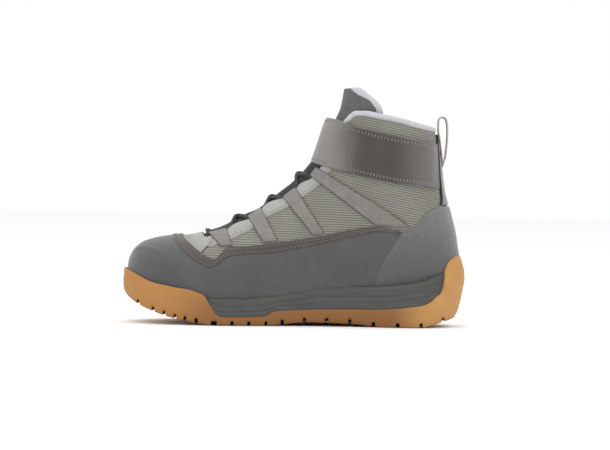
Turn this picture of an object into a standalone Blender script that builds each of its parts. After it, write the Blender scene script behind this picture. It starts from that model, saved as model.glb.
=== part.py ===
"""A wading boot for the right foot, as separate closed pieces, in metres.

The toe points along +X, +Z is up and +Y is the inner side of the foot. The origin is on the
floor under the middle of the sole's box. Tables hold shares of the named sizes that they
follow: along the boot of LENGTH, across it of BALL_WIDTH and up it of BACK_HEIGHT.
"""
import math

import bmesh
import bpy
import numpy as np
from mathutils import Vector

# Driving sizes of the boot
LENGTH = 0.312
BALL_WIDTH = 0.108
BACK_HEIGHT = 0.182
GAP = 0.0003

# Thicknesses of its layers
WALL = 0.0025
RAND_THICKNESS = 0.0012
COUNTER_THICKNESS = 0.0014
TRIM_THICKNESS = 0.0016
WEBBING_THICKNESS = 0.0011
STRAP_THICKNESS = 0.0025
BINDING_PROUD = 0.0006
TONGUE_THICKNESS = 0.0055
STRIP_THICKNESS = 0.0012
INSOLE_THICKNESS = 0.0045
LACE_DIAMETER = 0.0042
LACE_RISE = 0.0020
LACE_SINK = 0.0005
LACE_END = 0.19
TAPE_THICKNESS = 0.0013
PULL_WIDTH = 0.016

# Sole
HEEL_RADIUS = 0.036
TOE_RADIUS = 0.044
SOLE_BASE = 0.006
CUP_LIP = 0.008
LUG_DEPTH = 0.0042
LUG_REACH = 0.026
CHANNEL_WIDTH = 0.004
CHANNEL_SPREAD = 0.030
STEEP_ROOM = 0.15
LUG_TAPER = 0.64
LUG_SLANT = 0.0008
LUG_MARGIN = 0.004
BELOW_FLOOR = 0.02
CHANNEL_MARGIN = 0.014
CHANNEL_DEPTH = 0.8
CHANNEL_TAPER = 0.7
CHANNEL_STEPS = 9
RIM_ABOVE_FLOOR = 0.0015
CUTTER_REACH = 0.2
SIDE_STEP = 0.002
STATION_STEP = 0.05
ANGLE_STEP = 0.03
PLAN_STEP = 0.004
CENTRE_GAP = 0.0035
CENTRE_SLANT = 0.0015
LEDGE_STEP = 0.002
WELL_STEP = 0.006
ROOT_SHARE = 0.001
CLEAR = 0.004
SIDE_BEHIND = -0.08
SIDE_AHEAD = 1.08
TAPE_BEHIND = -0.02
RAND_AHEAD = 0.52
THROAT_AHEAD = (0.80, 0.60)
TONGUE_AHEAD = ((0.50, 1.15), (0.81, 0.60))
FIRST_LACED = 5
LAST_LACED = 16
LACED_ANGLES = (0.3, 0.98)

# Mesh fineness
RINGS = 24
RING_POINTS = 22
TUBE_SIDES = 6
TUBE_RINGS = 7

# Sections of the boot's outer form, from the toe's tip round the heel to above the collar:
# the ridge's place, the place opposite it under the foot or behind the leg, the half width,
# the middle line's place, where between the two the section is widest, and how round its
# lower and upper halves are (1 is an ellipse, less is boxier)
FORM_COLUMNS = ("ridge_x", "ridge_z", "back_x", "back_z", "half", "middle",
                "widest", "low_round", "top_round")
FORM_ROWS = (
    (0.9835, 0.258, 0.9835, 0.257, 0.000, 0.085, 0.50, 0.80, 1.00),
    (0.9800, 0.313, 0.9800, 0.187, 0.108, 0.085, 0.46, 0.70, 0.95),
    (0.9675, 0.357, 0.9675, 0.148, 0.190, 0.080, 0.42, 0.62, 0.95),
    (0.9450, 0.393, 0.9450, 0.121, 0.268, 0.070, 0.39, 0.58, 0.95),
    (0.9103, 0.415, 0.9103, 0.093, 0.342, 0.056, 0.37, 0.55, 0.95),
    (0.8590, 0.431, 0.8590, 0.071, 0.400, 0.037, 0.36, 0.55, 0.97),
    (0.7917, 0.445, 0.7917, 0.055, 0.440, 0.016, 0.34, 0.55, 1.00),
    (0.7212, 0.473, 0.7115, 0.049, 0.456, 0.000, 0.32, 0.55, 1.05),
    (0.6571, 0.530, 0.6282, 0.049, 0.432, -0.014, 0.31, 0.58, 1.08),
    (0.5994, 0.591, 0.5385, 0.060, 0.398, -0.018, 0.32, 0.62, 1.08),
    (0.5481, 0.648, 0.4423, 0.077, 0.366, -0.014, 0.35, 0.68, 1.05),
    (0.5064, 0.701, 0.3365, 0.088, 0.350, -0.005, 0.39, 0.74, 1.02),
    (0.4744, 0.753, 0.2179, 0.099, 0.344, 0.005, 0.43, 0.78, 0.98),
    (0.4503, 0.808, 0.0962, 0.126, 0.340, 0.014, 0.46, 0.82, 0.95),
    (0.4391, 0.857, 0.0280, 0.269, 0.334, 0.018, 0.48, 0.86, 0.92),
    (0.4279, 0.907, 0.0321, 0.429, 0.332, 0.019, 0.48, 0.88, 0.90),
    (0.4167, 0.956, 0.0497, 0.560, 0.336, 0.019, 0.48, 0.88, 0.90),
    (0.4054, 1.005, 0.0689, 0.681, 0.345, 0.019, 0.48, 0.88, 0.90),
    (0.3926, 1.044, 0.0790, 0.802, 0.354, 0.019, 0.48, 0.88, 0.90),
    (0.3830, 1.093, 0.0904, 0.923, 0.363, 0.019, 0.48, 0.88, 0.90),
    (0.3766, 1.143, 0.1000, 1.027, 0.366, 0.019, 0.48, 0.88, 0.90),
    (0.3718, 1.198, 0.1060, 1.132, 0.366, 0.019, 0.48, 0.88, 0.90),
)

# The sole's plan, in columns: place along it, middle line, and half width
PLAN_ROWS = (
    (0.048, 0.035, 0.271),
    (0.128, 0.030, 0.363),
    (0.224, 0.018, 0.374),
    (0.353, 0.000, 0.361),
    (0.481, -0.020, 0.400),
    (0.609, -0.018, 0.472),
    (0.689, 0.000, 0.500),
    (0.785, 0.012, 0.490),
    (0.881, 0.052, 0.428),
    (0.952, 0.076, 0.310),
)

# Lines along the sole, as the height at each place: underside, and the outsole's rim, where
# the midsole shows above it, the midsole's rim and the bed under the insole
UNDERSIDE = ((0.000, 0.066), (0.045, 0.040), (0.099, 0.015), (0.141, 0.0), (0.245, 0.0),
             (0.301, 0.011), (0.369, 0.016), (0.433, 0.019), (0.490, 0.016), (0.548, 0.005),
             (0.590, 0.0), (0.732, 0.0), (0.782, 0.012), (0.846, 0.034), (0.878, 0.049),
             (0.913, 0.070), (0.958, 0.104), (0.994, 0.142), (1.000, 0.148))
OUTSOLE_RIM = ((0.000, 0.357), (0.019, 0.357), (0.030, 0.343), (0.048, 0.310), (0.057, 0.258),
               (0.062, 0.209), (0.087, 0.154), (0.119, 0.121), (0.167, 0.104), (0.231, 0.093),
               (0.356, 0.088), (0.484, 0.082), (0.562, 0.071), (0.580, 0.049), (0.708, 0.044),
               (0.728, 0.071), (0.744, 0.115), (0.756, 0.143), (0.782, 0.165), (0.849, 0.187),
               (0.923, 0.214), (0.974, 0.253), (1.000, 0.272))
MIDSOLE_RIM = ((0.000, 0.280), (0.058, 0.269), (0.119, 0.236), (0.189, 0.214), (0.266, 0.203),
               (0.349, 0.198), (0.420, 0.192), (0.484, 0.165), (0.577, 0.143), (0.647, 0.132),
               (0.740, 0.132), (1.000, 0.150))
BED = ((-0.100, 0.176), (0.128, 0.170), (0.256, 0.159), (0.385, 0.143), (0.513, 0.121),
       (0.641, 0.104), (0.737, 0.104), (0.833, 0.121), (0.929, 0.157), (0.987, 0.198),
       (1.100, 0.240))

# How far the outsole's side stands in from the plan, in shares of BALL_WIDTH. The columns are
# the share of the side's own height, then the heel, the middle and the toe
SIDE_ROWS = (
    (0.00, 0.085, 0.026, 0.034),
    (0.12, 0.050, 0.009, 0.008),
    (0.30, 0.028, 0.003, 0.000),
    (0.58, 0.002, 0.000, 0.000),
    (0.75, 0.006, 0.002, 0.003),
    (1.00, 0.044, 0.007, 0.007),
)
# The midsole's side above the outsole's rim: share of its height, and how far it stands in
MIDSOLE_SIDE = ((0.00, 0.006), (0.30, 0.003), (0.36, 0.013), (0.46, 0.013), (0.52, 0.004),
                (0.80, 0.009), (1.00, 0.026))

# Gaps between lugs along the sole's edge: place and width
LUG_GAPS = ((0.067, 0.0045), (0.131, 0.0045), (0.199, 0.0045), (0.269, 0.0045),
            (0.337, 0.0045), (0.404, 0.0045), (0.468, 0.0045), (0.532, 0.0045),
            (0.579, 0.0035), (0.628, 0.0040), (0.676, 0.0040), (0.728, 0.0080),
            (0.779, 0.0045), (0.811, 0.0040), (0.840, 0.0040), (0.872, 0.0040),
            (0.904, 0.0040), (0.949, 0.0045))
CENTRE_ZONES = ((0.110, 0.275), (0.565, 0.890))
CENTRE_PITCH = 0.016

# Lines of the upper as seen from the side, each a row of places along and up the boot
THROAT_LINE = ((0.776, 0.470), (0.762, 0.429), (0.705, 0.455), (0.638, 0.518), (0.603, 0.566),
               (0.538, 0.624), (0.500, 0.668), (0.458, 0.723), (0.426, 0.791), (0.400, 0.870),
               (0.378, 0.950), (0.362, 1.000))
COLLAR_LOW = ((0.362, 1.000), (0.343, 1.027), (0.330, 1.043), (0.308, 1.045), (0.266, 1.033),
              (0.199, 1.011), (0.151, 0.989), (0.096, 0.973), (0.060, 0.965))
COLLAR_TOP = ((0.371, 1.003), (0.361, 1.031), (0.345, 1.060), (0.330, 1.072), (0.301, 1.072),
              (0.266, 1.061), (0.199, 1.039), (0.151, 1.019), (0.096, 0.997), (0.060, 0.990))
TRIM_TOP = ((0.834, 0.500), (0.826, 0.434), (0.804, 0.396), (0.768, 0.350), (0.732, 0.322),
            (0.713, 0.350), (0.692, 0.382), (0.631, 0.390), (0.551, 0.412), (0.446, 0.440),
            (0.333, 0.484), (0.260, 0.500), (0.192, 0.478))
TRIM_LOW = ((0.873, 0.500), (0.857, 0.423), (0.823, 0.357), (0.780, 0.302), (0.742, 0.280),
            (0.713, 0.302), (0.682, 0.337), (0.564, 0.357), (0.433, 0.401), (0.333, 0.445),
            (0.247, 0.473), (0.199, 0.456))
COUNTER_FRONT = ((0.190, 0.470), (0.205, 0.429), (0.234, 0.346), (0.253, 0.275),
                 (0.263, 0.231), (0.266, 0.209), (0.268, 0.060))
COUNTER_TOP = ((0.190, 0.470), (0.176, 0.482), (0.144, 0.522), (0.122, 0.566), (0.096, 0.593),
               (0.074, 0.604), (0.030, 0.604))
STRAP_TOP = ((0.460, 1.034), (0.405, 1.029), (0.374, 1.023), (0.352, 1.006), (0.320, 0.988),
             (0.224, 0.951), (0.093, 0.913))
STRAP_LOW = ((0.480, 0.815), (0.455, 0.812), (0.436, 0.802), (0.346, 0.764), (0.221, 0.720),
             (0.085, 0.693))
STRIP_FRONT = ((0.093, 0.960), (0.091, 0.913), (0.088, 0.841), (0.085, 0.764), (0.080, 0.687),
               (0.077, 0.637), (0.079, 0.609))
TONGUE_EDGE = ((0.808, 0.355), (0.721, 0.385), (0.641, 0.440), (0.561, 0.520), (0.481, 0.610),
               (0.401, 0.710), (0.337, 0.820), (0.295, 0.930), (0.256, 1.043), (0.253, 1.066),
               (0.263, 1.104), (0.280, 1.131), (0.301, 1.157), (0.319, 1.178), (0.335, 1.192),
               (0.352, 1.193), (0.362, 1.180))

# Webbing loops, from the vamp up: the front and rear corner at the throat, then the rear and
# front corner at the trim
LOOPS = (
    ((0.750, 0.446), (0.700, 0.468), (0.683, 0.392), (0.712, 0.386)),
    ((0.636, 0.532), (0.600, 0.573), (0.551, 0.420), (0.590, 0.410)),
    ((0.534, 0.632), (0.500, 0.678), (0.417, 0.462), (0.446, 0.452)),
    ((0.455, 0.744), (0.438, 0.784), (0.172, 0.502), (0.268, 0.510)),
)
# Bends of the topmost loop's lower and upper edges
LOOP_LOW_BEND = ((0.369, 0.637),)
LOOP_TOP_BENDS = ((0.330, 0.670), (0.247, 0.588))

# The pull loop's tape, seen from the side: up along the back strip, over and down behind it
PULL_ROUTE = ((0.0715, 0.802), (0.0755, 0.870), (0.0810, 0.935), (0.0860, 0.990),
              (0.0860, 1.025), (0.0780, 1.050), (0.0665, 1.045), (0.0600, 1.010),
              (0.0590, 0.960), (0.0610, 0.900), (0.0640, 0.850))

FINISHES = {
    "gum_rubber": ((0.50, 0.26, 0.10), 0.55),
    "midsole_foam": ((0.085, 0.085, 0.080), 0.70),
    "insole_cloth": ((0.20, 0.20, 0.20), 0.90),
    "mesh_cloth": ((0.34, 0.34, 0.29), 0.80),
    "microfibre": ((0.10, 0.10, 0.105), 0.65),
    "trim_leather": ((0.16, 0.135, 0.12), 0.75),
    "webbing": ((0.22, 0.19, 0.175), 0.80),
    "strap_nubuck": ((0.16, 0.14, 0.13), 0.85),
    "binding_cloth": ((0.42, 0.41, 0.43), 0.85),
    "tongue_leather": ((0.08, 0.07, 0.065), 0.60),
    "lace_cord": ((0.04, 0.04, 0.042), 0.80),
}


def hermite(xs, ys, at, monotone):
    """Smooth values through rising xs; monotone keeps them from swinging past the rows."""
    xs, ys, at = np.asarray(xs, float), np.asarray(ys, float), np.asarray(at, float)
    step = np.diff(xs)
    slope = np.diff(ys) / step
    inner = (slope[:-1] * step[1:] + slope[1:] * step[:-1]) / (step[:-1] + step[1:])
    if monotone:
        limit = 3 * np.minimum(abs(slope[:-1]), abs(slope[1:]))
        inner = np.where(slope[:-1] * slope[1:] <= 0, 0, np.clip(inner, -limit, limit))
    tangent = np.concatenate(([slope[0]], inner, [slope[-1]]))
    cell = np.clip(np.searchsorted(xs, at) - 1, 0, len(step) - 1)
    u = np.clip((at - xs[cell]) / step[cell], 0, 1)
    h = step[cell]
    return ((1 + 2 * u) * (1 - u) ** 2 * ys[cell] + u * (1 - u) ** 2 * h * tangent[cell]
            + u * u * (3 - 2 * u) * ys[cell + 1] + u * u * (u - 1) * h * tangent[cell + 1])


def height_on(line, x):
    """Height of a line along the sole at x, measured from the heel's rear."""
    shares = np.array(line)
    return hermite(shares[:, 0] * LENGTH, shares[:, 1] * BACK_HEIGHT, x, True)


def side_view(rows):
    """A line seen from the side, as points in metres from the heel's rear and the floor."""
    return [(along * LENGTH, up * BACK_HEIGHT) for along, up in rows]


def shifted(points, distance):
    """The line moved sideways, to the left of its own direction."""
    line = np.array(points)
    run = np.gradient(line, axis=0)
    run /= np.linalg.norm(run, axis=1)[:, None]
    moved = line + distance * np.column_stack((-run[:, 1], run[:, 0]))
    return [tuple(point) for point in moved]


def rounded(rows, per_step=3):
    """A smooth line through a side view's rows."""
    line = np.array(side_view(rows))
    index = np.arange(len(line))
    fine = np.linspace(0, len(line) - 1, per_step * (len(line) - 1) + 1)
    return list(zip(hermite(index, line[:, 0], fine, True), hermite(index, line[:, 1], fine, True)))


def bed_line(lift):
    """The bed under the foot as a side view's line from behind the heel to past the toe."""
    along = np.linspace(-0.08, 1.08, 15) * LENGTH
    return [(x, float(height_on(BED, x)) + lift) for x in along]


def sections(stations):
    """The form's sections at the stations, which count the rows of FORM_ROWS."""
    scale = (LENGTH, BACK_HEIGHT, LENGTH, BACK_HEIGHT, BALL_WIDTH, BALL_WIDTH, 1, 1, 1)
    rows = np.array(FORM_ROWS) * scale
    index = np.arange(len(rows))
    return {name: hermite(index, rows[:, column], stations, False)
            for column, name in enumerate(FORM_COLUMNS)}


def on_sections(stations, angles):
    """Points of the form at stations and angles: 0 under or behind the foot, pi on the ridge."""
    part = sections(stations)
    turn, side = np.cos(angles), np.sin(angles)
    power = part["low_round"] + (part["top_round"] - part["low_round"]) * (1 - turn) / 2
    share = (1 - np.sign(turn) * abs(turn) ** power) / 2
    share = share ** (np.log(part["widest"]) / math.log(0.5))
    x = part["back_x"] + (part["ridge_x"] - part["back_x"]) * share
    z = part["back_z"] + (part["ridge_z"] - part["back_z"]) * share
    y = part["middle"] + part["half"] * np.sign(side) * abs(side) ** power
    return np.stack((x, y, z), axis=-1)


def form_points(stations, angles, offset=0.0):
    """Points of the outer form, or ones that stand off it by the offset."""
    stations, angles = np.broadcast_arrays(np.asarray(stations, float), np.asarray(angles, float))
    points = on_sections(stations, angles)
    last = len(FORM_ROWS) - 1
    after = np.minimum(stations + STATION_STEP, last)
    before = np.maximum(stations - STATION_STEP, 0)
    along = on_sections(after, angles) - on_sections(before, angles)
    across = (on_sections(stations, angles + ANGLE_STEP)
              - on_sections(stations, angles - ANGLE_STEP))
    normal = np.cross(along, across)
    size = np.linalg.norm(normal, axis=-1, keepdims=True)
    tip = stations < 0.02
    normal = np.where(tip[..., None], (1.0, 0.0, 0.0), normal / np.maximum(size, 1e-15))
    return points + np.asarray(offset)[..., None] * normal


def form_grid(offset):
    """Rings of points all over the form at an offset, from the toe to above the collar."""
    stations = np.linspace(0, len(FORM_ROWS) - 1, RINGS)
    angles = np.arange(RING_POINTS) * 2 * math.pi / RING_POINTS
    return form_points(stations[:, None], angles[None, :], offset)


def placed(point):
    """A point measured from the heel's rear, in the boot's own frame."""
    return Vector((point[0] - LENGTH / 2, point[1] - PLAN_CENTRE, point[2]))


def finish_of(name):
    """The named finish as a material."""
    material = bpy.data.materials.get(name)
    if material is None:
        colour, roughness = FINISHES[name]
        material = bpy.data.materials.new(name)
        material.use_nodes = True
        shader = material.node_tree.nodes["Principled BSDF"]
        shader.inputs["Base Color"].default_value = (*colour, 1)
        shader.inputs["Roughness"].default_value = roughness
        shader.inputs["Metallic"].default_value = 0.0
    return material


def add_object(name, work, finish=None):
    """Make an object of a bmesh; one without a finish is a cutter."""
    bmesh.ops.remove_doubles(work, verts=work.verts, dist=1e-6)
    bmesh.ops.recalc_face_normals(work, faces=work.faces)
    mesh = bpy.data.meshes.new(name)
    work.to_mesh(mesh)
    work.free()
    thing = bpy.data.objects.new(name, mesh)
    bpy.context.scene.collection.objects.link(thing)
    if finish is None:
        thing.hide_render = True
        thing.display_type = "WIRE"
    else:
        mesh.materials.append(finish_of(finish))
        mesh.shade_smooth()
        mesh.set_sharp_from_angle(angle=math.radians(35))
    return thing


def boolean(thing, cutter, operation):
    """Add a Boolean that stays on the object."""
    modifier = thing.modifiers.new(cutter.name, "BOOLEAN")
    modifier.object = cutter
    modifier.operation = operation
    modifier.solver = "EXACT"
    return thing


def faces_between(work, first, second):
    """Faces between two closed rings of vertices, split the same way on every layer."""
    count = len(first)
    for i in range(count):
        j = (i + 1) % count
        for corners in ((first[i], first[j], second[j]), (first[i], second[j], second[i])):
            if len(set(corners)) == 3:
                work.faces.new(corners)


def add_rings(work, grid):
    """Vertices for rings of points, where a ring of one place becomes one vertex."""
    rings = []
    for points in grid:
        spread = max(np.linalg.norm(point - points[0]) for point in points)
        if spread < 1e-6:
            rings.append([work.verts.new(placed(points[0]))] * len(points))
        else:
            rings.append([work.verts.new(placed(point)) for point in points])
    for first, second in zip(rings, rings[1:]):
        faces_between(work, first, second)
    return rings


def form_solid(name, offset):
    """The whole form at an offset as a filled cutter, for wells and for the insole."""
    work = bmesh.new()
    rings = add_rings(work, form_grid(offset))
    work.faces.new(rings[-1])
    return add_object(name, work)


def form_shell(name, inner, outer, finish):
    """A layer of the form between two offsets, closed above the collar."""
    work = bmesh.new()
    inside = add_rings(work, form_grid(inner))
    outside = add_rings(work, form_grid(outer))
    faces_between(work, inside[-1], outside[-1])
    return add_object(name, work, finish)


def prism(name, outline, low_y=-CUTTER_REACH, high_y=CUTTER_REACH):
    """A cutter: a side view's outline drawn out across the boot."""
    work = bmesh.new()
    corners = [work.verts.new(placed((x, low_y, z))) for x, z in outline]
    face = work.faces.new(corners)
    drawn = bmesh.ops.extrude_face_region(work, geom=[face])
    moved = [item for item in drawn["geom"] if isinstance(item, bmesh.types.BMVert)]
    bmesh.ops.translate(work, verts=moved, vec=(0, high_y - low_y, 0))
    return add_object(name, work)


def layer(name, inner, outer, outline, finish, side=0):
    """A piece cut from the form's layer by its side view, on one side (1, -1) or on both."""
    middle = PLAN_CENTRE + SIDE_STEP * side
    low_y = middle if side > 0 else -CUTTER_REACH
    high_y = middle if side < 0 else CUTTER_REACH
    thing = form_shell(name, inner, outer, finish)
    return boolean(thing, prism(name + "_outline", outline, low_y, high_y), "INTERSECT")


def plan_points(angles, inset):
    """The sole's plan at the angles (0 at the heel, pi at the toe), stood in by the insets."""
    rows = np.array(PLAN_ROWS)
    along = np.concatenate(([0], rows[:, 0], [1]))
    ends = np.sqrt(2 * np.array((HEEL_RADIUS, TOE_RADIUS)) * LENGTH) / 2
    swell = 2 * np.sqrt(rows[:, 0] * (1 - rows[:, 0]))
    fullness = np.concatenate(([ends[0]], rows[:, 2] * BALL_WIDTH / swell, [ends[1]]))
    middle = np.concatenate(([rows[0, 1]], rows[:, 1], [rows[-1, 1]])) * BALL_WIDTH

    def edge(angle):
        share = (1 - np.cos(angle)) / 2
        y = (hermite(along, middle, share, False)
             + hermite(along, fullness, share, False) * np.sin(angle))
        return np.column_stack((share * LENGTH, y))

    here, ahead, behind = edge(angles), edge(angles + PLAN_STEP), edge(angles - PLAN_STEP)
    run = ahead - behind
    run /= np.linalg.norm(run, axis=1)[:, None]
    inward = np.column_stack((run[:, 1], -run[:, 0]))
    return here + inward * np.asarray(inset)[:, None]


def sole_angles():
    """Angles round the sole's plan, close together where its rims drop."""
    half = [0, 8, 15, 20, 23, 26, 29, 33, 39, 47, 57, 68, 80, 91, 98, 102, 108, 115, 118, 121,
            124, 129, 137, 147, 158, 169]
    other = [360 - angle for angle in reversed(half[1:])]
    return np.radians(np.array(half + [180] + other))


def ease(value):
    """A smooth step from 0 to 1."""
    value = np.clip(value, 0, 1)
    return value * value * (3 - 2 * value)


def sole_ring(angles, insets, heights):
    """A ring of points over the plan, at the given insets and heights."""
    plan = plan_points(angles, insets)
    return [np.array((x, y, z)) for (x, y), z in zip(plan, heights)]


def cross_fill(work, ring):
    """Close a ring with a ladder of faces across the sole."""
    count = len(ring)
    half = count // 2
    for i in range(half):
        corners = (ring[i], ring[i + 1], ring[(count - i - 1) % count], ring[(count - i) % count])
        work.faces.new(list(dict.fromkeys(corners)))


def sole_block(name, rings, finish):
    """A closed block through rings of points, filled across below and above."""
    work = bmesh.new()
    vertices = add_rings(work, rings)
    cross_fill(work, vertices[0])
    cross_fill(work, vertices[-1])
    return add_object(name, work, finish)


def side_insets(x, row):
    """How far the outsole's side stands in at a row of SIDE_ROWS."""
    heel = ease(1 - x / (0.16 * LENGTH))
    toe = ease((x - 0.74 * LENGTH) / (0.16 * LENGTH))
    share = heel * row[1] + (1 - heel) * (1 - toe) * row[2] + toe * row[3]
    return share * BALL_WIDTH


def cup_floor(x):
    """Height of the outsole's floor inside its rim."""
    return height_on(UNDERSIDE, x) + SOLE_BASE


def make_outsole():
    """The gum outsole: a cup with a lip round toe and heel, and lugs below."""
    angles = sole_angles()
    x = plan_points(angles, np.zeros(len(angles)))[:, 0]
    rim = height_on(OUTSOLE_RIM, x)
    rings = []
    for row in SIDE_ROWS:
        insets = side_insets(x, row)
        own_x = plan_points(angles, insets)[:, 0]
        low = height_on(UNDERSIDE, own_x)
        rings.append(sole_ring(angles, insets, low + (rim - low) * row[0]))
    inner = np.full(len(angles), CUP_LIP)
    floor_x = plan_points(angles, inner)[:, 0]
    floor = np.minimum(cup_floor(floor_x), rim - RIM_ABOVE_FLOOR)
    rings.append(sole_ring(angles, inner, rim))
    rings.append(sole_ring(angles, inner, floor))
    outsole = sole_block("outsole", rings, "gum_rubber")
    boolean(outsole, FOOT_WELL, "DIFFERENCE")
    boolean(outsole, edge_gaps(), "DIFFERENCE")
    boolean(outsole, channels(), "DIFFERENCE")
    boolean(outsole, centre_gaps(), "DIFFERENCE")
    return outsole


def add_bar(work, x, width, low_y, high_y, slant):
    """One gap between lugs: a bar across the sole, narrower above, with slanted run."""
    top = float(height_on(UNDERSIDE, x)) + LUG_DEPTH
    corners = []
    upper = LUG_TAPER / 2
    for y, lead in ((low_y, -slant), (high_y, slant)):
        for dx, z in ((-0.5, -BELOW_FLOOR), (0.5, -BELOW_FLOOR), (upper, top), (-upper, top)):
            corners.append(work.verts.new(placed((x + dx * width + lead, y, z))))
    work.faces.new(corners[:4])
    work.faces.new(corners[4:])
    for i in range(4):
        j = (i + 1) % 4
        work.faces.new((corners[i], corners[j], corners[4 + j], corners[4 + i]))


def edge_gaps():
    """Cutter for the gaps between the lugs along both edges."""
    work = bmesh.new()
    for along, width in LUG_GAPS:
        angle = math.acos(1 - 2 * along)
        inner = plan_points(np.array((angle, -angle)), np.zeros(2))
        reach = min(LUG_REACH, (inner[0, 1] - inner[1, 1]) / 2 - LUG_MARGIN)
        x = along * LENGTH
        add_bar(work, x, width, inner[0, 1] - reach, inner[0, 1] + BELOW_FLOOR, LUG_SLANT)
        add_bar(work, x, width, inner[1, 1] - BELOW_FLOOR, inner[1, 1] + reach, -LUG_SLANT)
    return add_object("edge_gaps", work)


def channel_sides(x):
    """Middle of the sole at x and the places of its two long channels."""
    angle = math.acos(1 - 2 * x / LENGTH)
    edges = plan_points(np.array((angle, -angle)), np.zeros(2))[:, 1]
    middle = (edges[0] + edges[1]) / 2
    half = min(CHANNEL_SPREAD / 2, (edges[0] - edges[1]) / 2 - CHANNEL_MARGIN)
    return middle, half


def channels():
    """Cutter for the long channels that part the centre lugs from the edge lugs."""
    work = bmesh.new()
    for start, end in CENTRE_ZONES:
        for side in (1, -1):
            rings = []
            for x in np.linspace(start * LENGTH, end * LENGTH, CHANNEL_STEPS):
                middle, half = channel_sides(x)
                top = float(height_on(UNDERSIDE, x)) + CHANNEL_DEPTH * LUG_DEPTH
                y = middle + side * half
                wide = CHANNEL_WIDTH / 2
                slim = CHANNEL_TAPER * wide
                rings.append([np.array((x, y + dy, z)) for dy, z in
                              ((-wide, -BELOW_FLOOR), (wide, -BELOW_FLOOR), (slim, top),
                               (-slim, top))])
            vertices = add_rings(work, rings)
            work.faces.new(vertices[0])
            work.faces.new(vertices[-1])
    return add_object("long_channels", work)


def centre_gaps():
    """Cutter for the gaps between the centre lugs."""
    work = bmesh.new()
    for start, end in CENTRE_ZONES:
        count = int((end - start) * LENGTH / CENTRE_PITCH)
        for i in range(1, count):
            x = start * LENGTH + i * CENTRE_PITCH
            middle, half = channel_sides(x)
            add_bar(work, x, CENTRE_GAP, middle - half, middle + half, CENTRE_SLANT)
    return add_object("centre_gaps", work)


def make_midsole():
    """The midsole: it lies in the outsole's cup and shows above the rim along the middle."""
    angles = sole_angles()
    x = plan_points(angles, np.zeros(len(angles)))[:, 0]
    rim = height_on(OUTSOLE_RIM, x)
    inner = np.full(len(angles), CUP_LIP + GAP)
    floor_x = plan_points(angles, inner)[:, 0]
    floor = np.minimum(cup_floor(floor_x), rim - RIM_ABOVE_FLOOR) + GAP
    steep = abs(np.roll(rim, 1) - np.roll(rim, -1)) / 2
    ledge = rim + GAP + STEEP_ROOM * steep
    top = np.maximum(height_on(MIDSOLE_RIM, x), ledge + LEDGE_STEP)
    shows = ease((height_on(MIDSOLE_RIM, x) - rim) / LEDGE_STEP)
    rings = [sole_ring(angles, inner, floor), sole_ring(angles, inner, ledge)]
    for share, inset in MIDSOLE_SIDE:
        out = inset * BALL_WIDTH * shows + (CUP_LIP + GAP) * (1 - shows)
        up = ROOT_SHARE + (1 - ROOT_SHARE) * share
        rings.append(sole_ring(angles, out, ledge + (top - ledge) * up))
    hollow = np.full(len(angles), CUP_LIP + 4 * GAP)
    deep = hollow + LEDGE_STEP
    well = height_on(BED, plan_points(angles, deep)[:, 0]) + WELL_STEP
    rings.append(sole_ring(angles, hollow, top))
    rings.append(sole_ring(angles, deep, well))
    midsole = sole_block("midsole", rings, "midsole_foam")
    return boolean(midsole, FOOT_WELL, "DIFFERENCE")


def make_insole():
    """The insole, cut from the room inside the upper."""
    plate = form_solid("insole_room", -WALL - GAP)
    low, high = bed_line(GAP), bed_line(GAP + INSOLE_THICKNESS)
    slab = prism("insole", low + high[::-1])
    slab.hide_render = False
    slab.display_type = "TEXTURED"
    slab.data.materials.append(finish_of("insole_cloth"))
    return boolean(slab, plate, "INTERSECT")


def make_upper():
    """The upper: one wall, open at the collar, down the throat and underneath."""
    along, up = THROAT_AHEAD
    line = [(along * LENGTH, up * BACK_HEIGHT)] + side_view(THROAT_LINE)
    collar = shifted(side_view(COLLAR_LOW)[1:], GAP)
    behind = [(SIDE_BEHIND * LENGTH, collar[-1][1])]
    ahead = [(SIDE_AHEAD * LENGTH, up * BACK_HEIGHT)]
    keep = bed_line(GAP)[::-1] + behind + collar[::-1] + line[::-1] + ahead
    return layer("upper", -WALL, 0.0, keep, "mesh_cloth")


def make_rand():
    """The rand and toe cap in one: from the sole up to the trim."""
    top = shifted(side_view(TRIM_LOW), GAP)
    rear = side_view(COUNTER_FRONT[1:])
    rear = [(x + GAP, z) for x, z in rear if z < top[-1][1] - GAP]
    low = [point for point in bed_line(GAP) if point[0] > rear[-1][0] + CLEAR]
    rear[-1] = (rear[-1][0], float(height_on(BED, rear[-1][0])) + GAP)
    outline = rear + low + [(SIDE_AHEAD * LENGTH, RAND_AHEAD * BACK_HEIGHT)] + top
    return layer("rand", GAP, GAP + RAND_THICKNESS, outline, "microfibre")


def make_trim():
    """The stitched band along the rand's upper edge, over the toe and back to the counter."""
    outline = side_view(TRIM_TOP) + side_view(TRIM_LOW)[::-1]
    return layer("rand_trim", GAP, GAP + TRIM_THICKNESS, outline, "trim_leather")


def make_counter():
    """The heel counter."""
    front = side_view(COUNTER_FRONT)
    front[-1] = (front[-1][0], float(height_on(BED, front[-1][0])) + GAP)
    low = [point for point in bed_line(GAP) if point[0] < front[-1][0] - CLEAR]
    top = side_view(COUNTER_TOP)[1:]
    outline = front + low[::-1] + [(SIDE_BEHIND * LENGTH, top[-1][1])] + top[::-1]
    outline = [(x - GAP, z) for x, z in outline]
    return layer("heel_counter", GAP, GAP + COUNTER_THICKNESS, outline, "microfibre")


def make_binding():
    """The soft binding seated on the collar's edge."""
    outline = side_view(COLLAR_TOP) + side_view(COLLAR_LOW)[::-1]
    return layer("collar_binding", -WALL, BINDING_PROUD, outline, "binding_cloth")


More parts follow.
